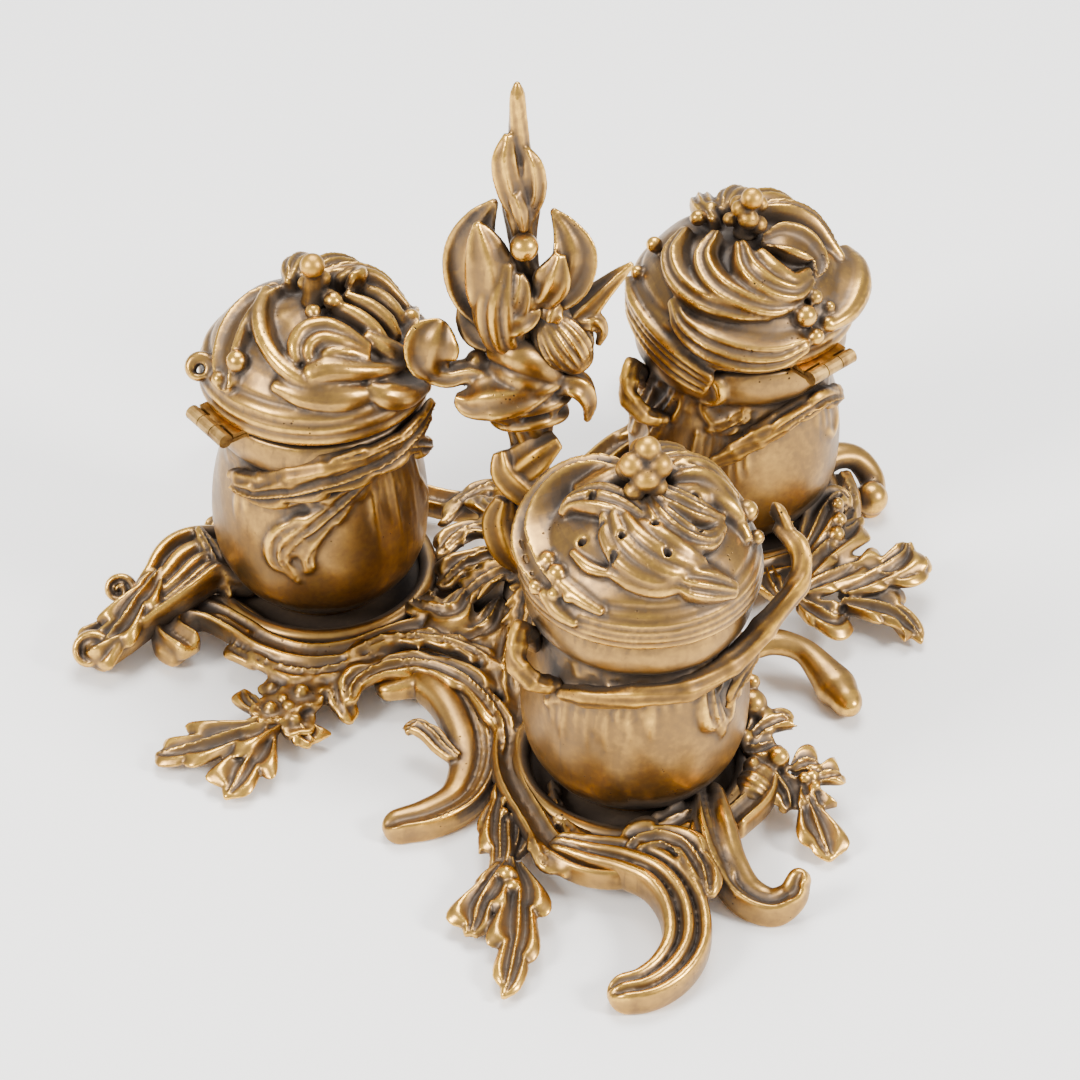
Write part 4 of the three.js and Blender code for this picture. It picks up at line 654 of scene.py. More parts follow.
for x, y, z, radius, thickness in at_pixel(shell_rolls):
    shell_forms.append(volute(np.array([x, y, z]), radius, 0.1, thickness))
    shell_forms.append(berry((x, y, z) - 0.7 * radius * back, radius * 0.75, 0.9))
cast("foot_left_shell_casting", shell_forms, old_gilding, "stand", ["foot_left_shell"])


# The sprays: leaves, buds and flowers that lie out over the desk between the feet
# Cast in bronze from carved models and pinned to the rim of the stand. Each has a lobed leaf or two
# with veins, and buds, berries or round petals where it leaves the stand.

spray_leaves = {
    "spray_left": [
        ([(284, 722, 7, 4, 2.8), (254, 732, 7, 8, 3.2), (222, 742, 6, 9.5, 3), (192, 750, 4.8, 7.5, 2.6),
          (172, 754, 3.6, 4.4, 2.2), (156, 756, 2.6, 0.8, 1.2)], 3),
        ([(272, 728, 6, 4, 2.8), (258, 750, 5.4, 8.5, 3), (244, 772, 4.4, 8, 2.6),
          (226, 799, 2.6, 0.8, 1.2)], 2),
        ([(262, 716, 8, 2.4, 2.2), (250, 704, 7.4, 4, 2.4), (243, 692, 7, 1, 1.4)], 1),
        ([(292, 720, 6, 3, 2.4), (302, 732, 5.4, 6, 2.6), (312, 742, 4.6, 2.4, 2)], 1),
    ],
    "spray_front_left": [
        ([(506, 776, 8, 3, 2.6), (503, 804, 8, 5.4, 3.2), (500, 834, 7.6, 5, 3),
          (500, 862, 7, 4, 2.8)], 2),
        ([(496, 800, 8, 2, 2), (489, 824, 7.4, 4, 2.8), (487, 850, 6.6, 2.6, 2.4)], 1),
        ([(516, 806, 8, 2, 2), (519, 832, 7, 4, 2.6), (515, 858, 6, 1.6, 1.8)], 1),
        ([(512, 862, 6.6, 4, 2.8), (519, 892, 6, 7.6, 3.2), (519, 926, 5, 8, 3), (515, 954, 4, 6.4, 2.6),
          (509, 980, 3.4, 3.4, 2), (503, 998, 2.6, 0.8, 1.4)], 3),
        ([(506, 866, 7, 3.4, 2.8), (491, 888, 6.4, 7, 3.2), (478, 912, 5, 6.6, 2.8),
          (472, 934, 3.6, 2.4, 2)], 2),
    ],
    "spray_front_right": [
        ([(748, 742, 13, 3, 2.4), (762, 728, 14.6, 6.4, 3), (780, 720, 15, 4.6, 2.6),
          (791, 724, 14, 1.2, 1.6)], 2),
        ([(742, 754, 12, 3, 2.4), (758, 752, 13, 6, 3), (774, 746, 13, 2.8, 2.2)], 1),
        ([(768, 764, 10, 2.4, 2), (776, 780, 10, 7, 2.8), (786, 796, 8, 5.4, 2.4),
          (790, 808, 6, 2, 1.8)], 1),
        ([(790, 774, 10, 2.4, 2), (802, 766, 11, 6, 2.8), (816, 764, 10.4, 3, 2)], 1),
        ([(804, 784, 9, 2.4, 2), (810, 796, 8.6, 6, 2.6), (816, 808, 7, 2.6, 2)], 1),
        ([(812, 782, 10, 2.4, 2), (826, 777, 10.4, 6, 2.6), (839, 776, 9.4, 2, 2)], 1),
        ([(806, 800, 7.4, 4, 2.6), (813, 820, 6, 7.4, 2.8), (821, 840, 4.4, 5.6, 2.2),
          (831, 861, 2.4, 0.8, 1.2)], 1),
    ],
    "spray_right": [
        ([(796, 588, 13, 4, 2.8), (812, 564, 14, 9, 3.4), (832, 544, 14, 8, 3.2),
          (852, 530, 13.4, 4, 2.4), (862, 520, 13, 1, 1.6)], 2),
        ([(796, 596, 12, 4, 2.8), (820, 584, 12.6, 8.5, 3.4), (846, 572, 12, 6.4, 3),
          (868, 564, 11.6, 2, 2)], 2),
        ([(796, 602, 11, 4, 2.8), (816, 614, 9.6, 8, 3.2), (834, 622, 7.6, 5, 2.8),
          (846, 618, 6.6, 1.4, 1.8)], 2),
        ([(838, 596, 10.6, 4, 2.8), (866, 582, 11.4, 9, 3.2), (890, 568, 12, 8, 3.2),
          (904, 556, 13, 5, 2.6), (906, 546, 13.4, 2.4, 2)], 2),
        ([(876, 580, 11, 3, 2.4), (900, 578, 11.4, 6, 2.8), (917, 570, 11, 5, 2.6),
          (921, 560, 10.6, 2, 2)], 1),
        ([(840, 604, 9.6, 4, 2.8), (866, 608, 8.6, 9, 3.2), (892, 614, 7, 8, 3), (910, 628, 4.6, 4, 2.2),
          (922, 643, 2.6, 0.8, 1.2)], 2),
        ([(800, 560, 13, 3, 2.4), (812, 536, 16, 6.4, 3), (824, 512, 18, 7, 3), (838, 498, 18, 4, 2.6),
          (846, 508, 16, 2, 2)], 1),
        ([(780, 602, 10, 3.4, 2.6), (771, 588, 11, 6, 3), (766, 572, 11, 3, 2.6)], 1),
    ],
}
spray_berries = {
    "spray_left": [(289, 708, 9, 2.4), (283, 700, 9.4, 2)],
    "spray_front_left": [(507, 874, 9, 2.6), (514, 886, 8, 2.2), (505, 800, 11, 1.4),
                         (504, 812, 11, 1.4)],
    "spray_front_right": [(752, 682, 22, 2.4), (752, 704, 18, 4.4), (744, 738, 15, 2.8),
                          (778, 758, 14, 3.4), (752, 766, 13, 2.6), (804, 778, 12, 1.8),
                          (812, 776, 12, 1.8), (815, 786, 11, 1.6), (764, 716, 16, 3)],
    "spray_right": [(837, 504, 21, 2.2), (839, 520, 19, 2.4), (836, 535, 17, 2.8), (832, 546, 15, 2.4)],
}
spray_bud = [(762, 776, 11, 5.4, 5.4), (752, 790, 9.4, 5.6, 5.6), (742, 806, 7.4, 5, 5)]


def bud(pixels, turns=5, grooves=0.16):
    """A closed bud laid along a line, cut round by a spiral: its half width is a root of a sine of
    the way along it, less a groove where a cosine of the turn and the way is low."""
    line = at_pixel(pixels)
    turn = np.linspace(0, 2 * np.pi, 48, endpoint=False)
    u = np.linspace(0, 1, 60)[:, None]
    reach = (0.3 + 0.7 * np.sin(np.pi * (0.12 + 0.8 * u)) ** 0.6) * (
        1 - grooves * (0.5 - 0.5 * np.cos(turn - 2 * np.pi * turns * u)) ** 4)
    return carried(line, np.stack([reach * np.cos(turn), reach * np.sin(turn)], -1), 60)


for name, leaves in spray_leaves.items():
    forms = [leaf(at_pixel(pixels), lobes) for pixels, lobes in leaves]
    forms += berries(at_pixel(spray_berries[name]))
    if name == "spray_front_right":
        forms.append(bud(spray_bud))
    cast(name + "_casting", forms, old_gilding, "stand", [name])


# The pots: two inkwells and the pounce pot, standing in the trays
# Turned and chased bronze, 63 mm across the belly. The neck has a frieze of double-arched scales
# under a bowed collar, and a leafy band wraps the shoulder and lets long drops run down the belly.

belly_radius, pot_height, mouth_radius = 31.5, 70, 27.725
scales_in_frieze, frieze_foot, frieze_radius = 24, 51.5, 27.5


def ridge(sheet, line, count=48):
    """Height of a raised stroke over a flat sheet of points. At each point it is the largest of tall
    times the root of 1 less the square of distance over half width, for all places on the line."""
    line = along(np.insert(np.asarray(line, float), 2, 0, axis=1), count)
    gap = np.hypot(sheet[..., 0, None] - line[:, 0], sheet[..., 1, None] - line[:, 1])
    dome = np.clip(1 - (gap / line[:, 3]) ** 2, 0, None)
    return (line[:, 4] * np.sqrt(dome)).max(-1)


def pot_line(rows):
    """Rows of angle and height made places on the belly's unrolled sheet, with their sizes."""
    rows = np.asarray(rows, float)
    return np.hstack([np.radians(rows[:, :1] - 270) * belly_radius, rows[:, 1:]])


def profile_line(corners, count, wide=1, tall=1):
    """Points on a smooth line through radii and heights, given in shares of a width and a height."""
    return along(np.array([(r * wide, h * tall, 0, 0, 0) for r, h in corners]), count)[:, :2]


pot_profile = profile_line([(0.66, 0.045), (0.83, 0.1), (0.95, 0.21), (1, 0.35), (0.985, 0.49),
                            (0.94, 0.61), (0.865, 0.75), (0.86, 0.81)], 120, belly_radius, pot_height)
collar_profile = profile_line([(0.86, 0.81), (0.95, 0.855), (0.985, 0.91), (0.975, 0.96), (0.95, 1)], 34,
                              belly_radius, pot_height)[1:]
foot_profile = np.array([(1, 0), (19.8, 0), (20.3, 0.6), (20.5, 2), (20.4, 2.8)])
pot_outside = np.concatenate([foot_profile, pot_profile, collar_profile])
lower_inside = [(27.4, 42.7), (29.3, 24.5), (27.7, 14.7), (16.7, 5), (1, 5)]
pot_inside = {
    True: np.array([(28.4, 70), (27.8, 69.6), (27.725, 66.8), (24.9, 66.8), (24.9, 56.7), *lower_inside]),
    False: np.array([(28.4, 70), (27.8, 69.6), (27.725, 66.8), (24.9, 56.7), *lower_inside]),
}


def pot_rows(about, has_ledge, strokes):
    """The pot as rings, with its strokes, the frieze of scales and soft dents raised along the
    radius. A scale's height is a pair of bell curves over the distance from the middle of its foot."""
    profile = np.concatenate([pot_outside, pot_inside[has_ledge]])
    turn = np.linspace(0, 2 * np.pi, 400, endpoint=False)
    rows = turned_rows(profile, centre_of[about] + [0, 0, tray_top], len(turn))
    outside = np.arange(len(profile)) < len(pot_outside)
    unrolled = (((turn - np.pi / 2) % (2 * np.pi)) - np.pi)[None] * belly_radius
    sheet = np.stack(np.broadcast_arrays(unrolled, profile[:, 1:]), -1)
    lift = np.zeros(sheet.shape[:2])
    for rows_of in strokes:
        lift = np.maximum(lift, ridge(sheet, pot_line(rows_of)))
    step = 2 * np.pi / scales_in_frieze
    beside_scale = (((turn + step / 2) % step) - step / 2)[None] * frieze_radius
    above_foot = profile[:, 1:] - frieze_foot
    reach = np.hypot(beside_scale, above_foot)
    scale = np.exp(-((reach - 3.1) / 0.45) ** 2) + 0.8 * np.exp(-((reach - 1.5) / 0.4) ** 2)
    scale = 0.55 * scale * (above_foot > -0.4) * (lift < 0.2)
    dents = (0.12 * np.sin(3 * turn + 0.21 * sheet[..., 1]) + 0.1 * np.sin(7 * turn - 0.13 * sheet[..., 1])
             + 0.07 * np.sin(13 * turn + 0.4 * sheet[..., 1]))
    lift = (lift + scale + dents) * outside[:, None]
    lift = lift * np.clip(profile[:, 1:] / 6, 0, 1)
    ray = np.stack([np.cos(turn), np.sin(turn), 0 * turn], -1)
    return rows + ray * lift[..., None]


def drop(angle, high, low, wide=1.3, tall=1.0):
    """Rows of a stroke that runs down from high to low, swells a little and ends in a point."""
    return [(angle, high, wide, tall * 0.8), (angle - 0.8, (high + low) / 2, wide * 1.2, tall * 0.7),
            (angle + 1, low, wide * 0.3, tall * 0.1)]


pot_strokes = {
    "left": [
        drop(289, 56, 30), drop(294, 56, 40, 0.8), drop(299, 58, 34), drop(304, 58, 27),
        drop(309, 60, 38, 0.8), drop(314, 60, 33), drop(319, 60, 29), drop(324, 60, 38), drop(330, 58, 32),
        drop(212, 50, 40, 1.6), drop(222, 50, 44, 1.2), drop(205, 48, 36, 1.2),
        [(331, 40, 2, 0.9), (336, 34, 3, 0.9)],
    ],
    "right": [
        [(229, 68, 1.6, 1.4), (238, 68, 2, 1.8), (241, 62, 2, 1.8), (235, 58, 2, 1.8),
         (229, 56, 1.8, 1.6), (236, 51, 2, 1.8), (243, 50, 1.6, 1.4)],
        *[drop(a, 46, low, 1.1, 1.1) for a, low in ((228, 30), (233, 27), (238, 29), (243, 26), (248, 28),
                                                    (253, 31), (258, 34))],
        drop(306, 52, 40, 1.1, 0.8), drop(312, 52, 36, 1.1, 0.8), drop(318, 50, 38, 1.1, 0.8),
        [(325, 46, 1.4, 1.1), (328, 40, 1.6, 1.1), (320, 36, 1.6, 1.1), (314, 39, 1.2, 1)],
    ],
    "front": [
        drop(221, 47, 35), drop(227, 47, 31), drop(232, 47, 34), drop(237, 48, 31, 1.1),
        drop(243, 48, 40, 0.9), drop(249, 48, 36, 1.1), drop(255, 49, 42, 0.9),
        drop(260, 49, 36, 1.6, 1.3), drop(213, 45, 29, 1.6), drop(206, 44, 33, 1.2),
        drop(268, 50, 44, 1, 0.7), drop(276, 50, 42, 1, 0.6),
        [(301, 52, 1.2, 1.1), (309, 49, 1.4, 1.3), (311, 42, 1.5, 1.4), (306, 35, 1.5, 1.4),
         (300, 36, 1.4, 1.3), (299, 42, 1.2, 1.1)],
    ],
}
back_band = [
    ([(168, 55, 2, 1.4), (152, 57, 4.4, 2), (134, 56, 5, 2.2), (114, 52, 5, 2.2), (96, 47, 4, 2),
      (82, 45, 1.4, 1.4)], 5),
    ([(120, 52, 2, 1.4), (108, 45, 5, 2.2), (98, 36, 5.4, 2.2), (92, 27, 3.6, 2), (90, 20, 1.2, 1.2)], 3),
]
pot_leaves = {
    "left": [
        ([(292, 56, 2, 1.4), (280, 52, 4.6, 2), (268, 48, 6, 2.2), (256, 43, 5.4, 2.2), (246, 38, 4, 2),
          (238, 31, 1.6, 1.4)], 4),
        ([(262, 46, 2, 1.4), (248, 43, 4.4, 2), (238, 38, 5, 2.2), (236, 30, 4, 2),
          (245, 23, 1.2, 1.2)], 2),
        ([(256, 38, 2, 1.4), (250, 33, 3, 1.8), (250, 27, 1.4, 1.4)], 1),
        ([(300, 58, 2, 1.4), (284, 57, 4.6, 2), (266, 55, 5.4, 2.2), (248, 52, 5, 2.2), (232, 50, 4, 2),
          (218, 49, 1.6, 1.4)], 5),
        *back_band,
        ([(22, 57, 2, 1.4), (36, 58, 4, 2), (54, 56, 4.6, 2.2), (72, 51, 3.6, 2), (84, 48, 1.4, 1.4)], 4),
    ],
    "right": [
        ([(204, 68, 2, 1.6), (193, 60, 5, 2.4), (185, 50, 6, 2.6), (178, 40, 4.6, 2.2),
          (172, 30, 1, 1.2)], 3),
        ([(216, 62, 2, 1.6), (209, 54, 4.6, 2.2), (202, 44, 4.4, 2.2), (194, 35, 1.2, 1.4)], 2),
        ([(220, 66, 1.6, 1.4), (213, 66, 3.4, 2), (205, 62, 2, 1.6)], 1),
        ([(232, 48, 1.4, 1.2), (240, 49, 3.6, 2), (250, 52, 3.6, 2), (258, 56, 1.6, 1.4)], 3),
        *[([(180 - angle, *sizes) for angle, *sizes in rows], lobes) for rows, lobes in back_band],
        ([(150, 57, 2, 1.4), (136, 58, 4, 2), (122, 56, 4.4, 2.2), (106, 51, 3.6, 2),
          (94, 48, 1.4, 1.4)], 4),
    ],
    "front": [
        ([(300, 63, 2, 1.6), (298, 56, 4.4, 2.2), (295, 47, 5, 2.4), (296, 38, 4, 2.2),
          (301, 31, 1.4, 1.4)], 2),
        ([(308, 62, 2, 1.6), (312, 54, 3.6, 2), (316, 46, 3, 2), (318, 38, 1.2, 1.4)], 2),
        ([(292, 56, 2, 1.4), (276, 52, 3, 1.8), (258, 50, 3.4, 1.8), (238, 49, 3.4, 1.8),
          (216, 45, 3, 1.8), (200, 39, 1.4, 1.4)], 8),
        ([(168, 50, 2, 1.4), (150, 55, 4.4, 2), (130, 56, 5, 2.2), (110, 52, 5, 2.2), (92, 47, 4, 2),
          (78, 45, 1.4, 1.4)], 5),
        ([(112, 52, 2, 1.4), (100, 45, 5, 2.2), (90, 36, 5.4, 2.2), (84, 27, 3.6, 2),
          (82, 20, 1.2, 1.2)], 3),
        ([(18, 57, 2, 1.4), (34, 58, 4, 2), (52, 56, 4.6, 2.2), (70, 51, 3.6, 2), (82, 48, 1.4, 1.4)], 4),
    ],
}


def away_from(about):
    """The level direction away from a pot's axis."""
    return lambda at: unit((at - centre_of[about]) * [1, 1, 0])


def on_belly(about, rows):
    """Stations on the skin of a pot, from rows of angle, height above its foot and the two sizes."""
    rows = np.asarray(rows, float)
    skin = np.interp(rows[:, 1], pot_profile[:, 1], pot_profile[:, 0])
    return round_pot(about, np.column_stack([rows[:, 0], skin, rows[:, 1] + tray_top, rows[:, 2:]]))


pot_nodes = {"left": "inkwell_left", "right": "inkwell_right", "front": "pounce_pot"}
for about, prefix in pot_nodes.items():
    forms = [pot_rows(about, about != "front", pot_strokes[about])]
    for rows, lobes in pot_leaves[about]:
        forms.append(leaf(on_belly(about, rows), lobes, cup=0.05, over=away_from(about)))
    cast(prefix + "_pot", forms, old_gilding, "stand", [prefix + "_body"], grain=0.7)


# The glass liners of the two inkwells
# Blown clear glass cups, hanging by a flange from the ledge inside each pot. They hold the ink and
# lift out for filling.

clear_glass, glass_tree, glass_skin = bare_finish("clear_glass")
glass_skin.inputs["Base Color"].default_value = (0.86, 0.95, 0.92, 1)
glass_skin.inputs["Roughness"].default_value = 0.04
glass_skin.inputs["IOR"].default_value = 1.5
glass_skin.inputs["Transmission Weight"].default_value = 0.92
glass_place = shader_node(glass_tree, "ShaderNodeTexCoord")["Object"]
ripple = shader_node(glass_tree, "ShaderNodeTexNoise", {"Vector": glass_place, "Scale": 90.0})["Fac"]
ripple_bump = shader_node(glass_tree, "ShaderNodeBump", {"Height": ripple, "Strength": 0.12,
                                                         "Distance": 0.0003})["Normal"]
glass_tree.links.new(ripple_bump, glass_skin.inputs["Normal"])

liner_profile = profile_line([
    (1, 20.8), (19, 20.8), (22.4, 21.4), (24.1, 24.8), (24.3, 30), (24.5, 66.0), (24.6, 66.8),
    (27.0, 66.8), (27.4, 67.6), (27.2, 69), (25.6, 69), (22.8, 68.2), (22.5, 64), (22.4, 26),
    (20.5, 23.6), (16, 22.9), (1, 22.8)], 110)
for about in ("left", "right"):
    prefix = pot_nodes[about]
    rows = turned_rows(liner_profile, centre_of[about] + [0, 0, tray_top], 96)
    castings.remove(cast(prefix + "_glass", [rows], clear_glass, "stand", [prefix + "_liner"],
                         grain=0))


# The twigs and loops on the pots
# Branches cast in bronze with bark, riveted to the shoulders of the pots. On the pounce pot one
# grows into a free handle at the right, and a loop stands at the left of two pots.

dark_gilding = gilding("dark_gilding", (0.8, 0.77, 0.72), 0.5)
bark_turn = np.linspace(0, 2 * np.pi, 36, endpoint=False)


def branch(about, rows, count=110, knots=7):
    """A branch round a pot, from rows of angle, radius, height and thickness. Its section is a
    circle with two low waves that twist along the branch, and it swells a little at each knot."""
    rows = np.asarray(rows, float)
    stations = round_pot(about, np.hstack([rows, rows[:, 3:]]))
    u = np.linspace(0, 1, count)[:, None]
    swell = 1 + 0.12 * np.sin(3 * bark_turn + 9 * u) + 0.07 * np.sin(7 * bark_turn - 16 * u)
    swell = swell + 0.16 * np.abs(np.sin(np.pi * knots * u)) ** 8
    section = np.stack([swell * np.cos(bark_turn), swell * np.sin(bark_turn)], -1)
    return carried(stations, section, count)


twig_rows = {
    "left": [(200, 29.1, 58.4, 2.1), (212, 29.1, 60.5, 2.7), (227, 29.3, 63.3, 3), (243, 30.1, 68.2, 3.1),
             (259, 30.9, 72.4, 3.1), (277, 31.1, 74.2, 3.1), (295, 31.1, 73.8, 3), (310, 31.5, 74.2, 3),
             (324, 32.9, 75.6, 2.4)],
    "right": [(236, 30.5, 45.1, 1.8), (246, 30.5, 49.3, 2.6), (258, 30.1, 54.2, 3),
              (274, 29.6, 59.1, 3.1), (294, 29.1, 63, 3.1), (310, 29.6, 61.2, 3), (325, 30.3, 57, 2.4)],
    "front": [(212, 30.3, 54.2, 2.4), (232, 29.9, 57.7, 3), (255, 29.6, 60.2, 3), (276, 29.7, 60.2, 3),
              (296, 30.5, 61.9, 3.1), (314, 32.5, 64.7, 3.3), (328, 37.5, 71.7, 3.1),
              (337, 42.9, 80.1, 2.9), (342, 42.1, 87.1, 2.6), (349, 37, 90.6, 2.1)],
}
twig_leaves = {
    "left": [
        ([(204, 31, 57, 2, 1.8), (220, 31.4, 59, 4.4, 2.4), (238, 31.6, 63, 5.6, 2.8),
          (256, 31.8, 67, 6, 3), (276, 32, 70, 6, 3), (296, 32.4, 72, 5.6, 2.8),
          (314, 33, 75, 4.4, 2.4), (328, 34, 79, 2, 1.8)], 6),
        ([(262, 32, 75, 1.6, 1.6), (280, 33, 76.5, 2.6, 2), (300, 33.4, 77, 2.6, 2),
          (318, 34, 79, 1.4, 1.4)], 3),
        ([(330, 33, 62, 2, 1.8), (322, 33, 66, 4, 2.4), (312, 33, 70, 4, 2.4),
          (302, 33, 73, 1.6, 1.6)], 2),
    ],
    "right": [
        ([(326, 31.4, 55, 1.6, 1.6), (314, 31.6, 60, 3.4, 2.2), (298, 31.6, 63, 4, 2.4),
          (280, 31.6, 61, 3.6, 2.2), (264, 31.6, 56, 1.6, 1.6)], 3),
    ],
    "front": [
        ([(318, 35, 63, 1.6, 1.6), (310, 34, 60, 3.4, 2.2), (303, 33.4, 55, 2.4, 1.8),
          (300, 33, 50, 1, 1.2)], 2),
        ([(344, 41, 88, 2, 1.6), (350, 38, 92, 3.6, 2.2), (356, 36, 93, 2, 1.6)], 1),
    ],
}
loop_rows = [(207, 30.2, 55, 2.3), (202, 35.7, 57.5, 2.7), (196, 38.7, 64, 2.7),
             (190, 35.7, 70, 2.5), (184, 30.8, 64, 2.3), (181, 29.4, 58.5, 2)]
for about, prefix in pot_nodes.items():
    forms = [branch(about, twig_rows[about])]
    for rows, lobes in twig_leaves[about]:
        forms.append(leaf(round_pot(about, rows), lobes, cup=0.05, over=away_from(about)))
    cast(prefix + "_branch", forms, dark_gilding, "stand", [prefix + "_twig"])
for about in ("right", "front"):
    cast(pot_nodes[about] + "_handle", [branch(about, loop_rows)], dark_gilding, "stand",
         [pot_nodes[about] + "_loop"])


# The lids and the pounce pot's cover
# Low turned domes with a stack of rounded mouldings at the edge, hollow beneath. Acanthus fingers,
# waves and berries are cast on top of them, and the cover is drilled so that pounce shakes out.

lid_radius, crown_height, rim_height, lobe_height = 33.5, 25.5, 11.2, 4
dome_core, dome_edge, most_sunk = -2, 31, 1.4
ray_before, ray_beyond, ray_steps = 220, 120, 3400
hole_depth, hole_radius = 4, 1.0
lid_foot = {"left": 80.7, "right": 80.7, "front": 78.0}
rim_rolls = {"left": (3, 1.25), "right": (3, 1.1), "front": (5, 0.85)}
dome_radius = [0, 4, 10, 15.4, 20, 23.45, 26, 28.1, 30.5, 33, 33.5]
dome_height = [25.5, 25.5, 24.6, 23, 21, 19, 17, 14.6, 11.4, 9.4, 7]
crown_radius = np.linspace(29.3, 1, 60)
hollow_side = [(28.1, 6.85), (25.7, 12.6), (21.05, 16.6), (13, 20.6)]
lid_inside = {
    False: np.array([(1, 23.1), *reversed(hollow_side), (24.825, 0.2), (25.2, 0)]),
    True: np.array([(1, 23.1), *reversed(hollow_side), (24.825, -2.8), (25.2, -3), (27, -3),
                   (27.225, -2.6), (27.225, 0)]),
}
pounce_holes = [(264, 0.56), (234, 0.86), (268, 0.86), (212, 0.62), (236, 0.7), (330, 0.5),
                (203, 0.74), (300, 0.72), (180, 0.5)]


def on_lid(about, rows):
    """Stations on a lid, from rows of angle, radius, height over the dome and the two sizes."""
    rows = np.asarray(rows, float).copy()
    rows[:, 2] += lid_foot[about] + np.interp(rows[:, 1], dome_radius, dome_height)
    return round_pot(about, rows)


def at_lid(about, rows):
    """Stations on a lid as the camera sees it. Each row's pixel gives a ray, and the station is the
    ray's first point that is no more over the dome than the row's third number."""
    rows = np.asarray(rows, float)
    ray = unit(rays(rows))
    far = np.linspace(camera_distance - ray_before, camera_distance + ray_beyond, ray_steps)
    way = eye * 1000 + far[None, :, None] * ray[:, None]
    reach = np.linalg.norm(way[..., :2] - centre_of[about][:2], axis=-1)
    over = way[..., 2] - lid_foot[about] - np.interp(reach, dome_radius, dome_height, right=-200)
    first = np.argmax(over <= rows[:, 2:3], axis=1)
    return np.hstack([way[np.arange(len(rows)), first], rows[:, 3:]])


def outward(about):
    """The direction away from a place just under the lid's foot, for leaves that hug the dome."""
    core = centre_of[about] + [0, 0, lid_foot[about] + dome_core]
    return lambda at: unit(at - core)


def lid_section(top):
    """A section for a leaf on a lid: its top, and sides that go down into the dome."""
    return np.concatenate([np.stack([across_section, top], 1), [[0.95, -1.6], [-0.95, -1.6]]])


bulge = np.sqrt(1 - across_section ** 2)
fluted = lid_section(bulge * (0.82 + 0.24 * np.cos(3 * np.pi * across_section)) - 0.1)
trough = lid_section(0.1 + 0.75 * np.exp(-((np.abs(across_section) - 0.8) / 0.24) ** 2))
tongue = lid_section(bulge * (0.94 + 0.06 * np.cos(5 * np.pi * across_section)))
two_rolls = lid_section(bulge * (0.84 - 0.2 * np.cos(2 * np.pi * across_section)))


def lobe(about, stations, section, count=80):
    """A lobe of leaf swept over a lid. No point of it sinks far through the dome."""
    rows = carried(stations, section, count, outward(about))
    reach = np.linalg.norm(rows[..., :2] - centre_of[about][:2], axis=-1)
    lowest = lid_foot[about] + np.interp(reach, dome_radius, dome_height) - most_sunk
    rows[..., 2] = np.where(reach < dome_edge, np.maximum(rows[..., 2], lowest), rows[..., 2])
    return rows


def by_share(about, shares, turned_by=0):
    """Stations on a lid from rows of the angle, the share of its radius, and the rise, half width
    and half height in lobe heights."""
    sizes = [1, lid_radius, lobe_height, lobe_height, lobe_height]
    return on_lid(about, np.asarray(shares, float) * sizes + [turned_by, 0, 0, 0, 0])


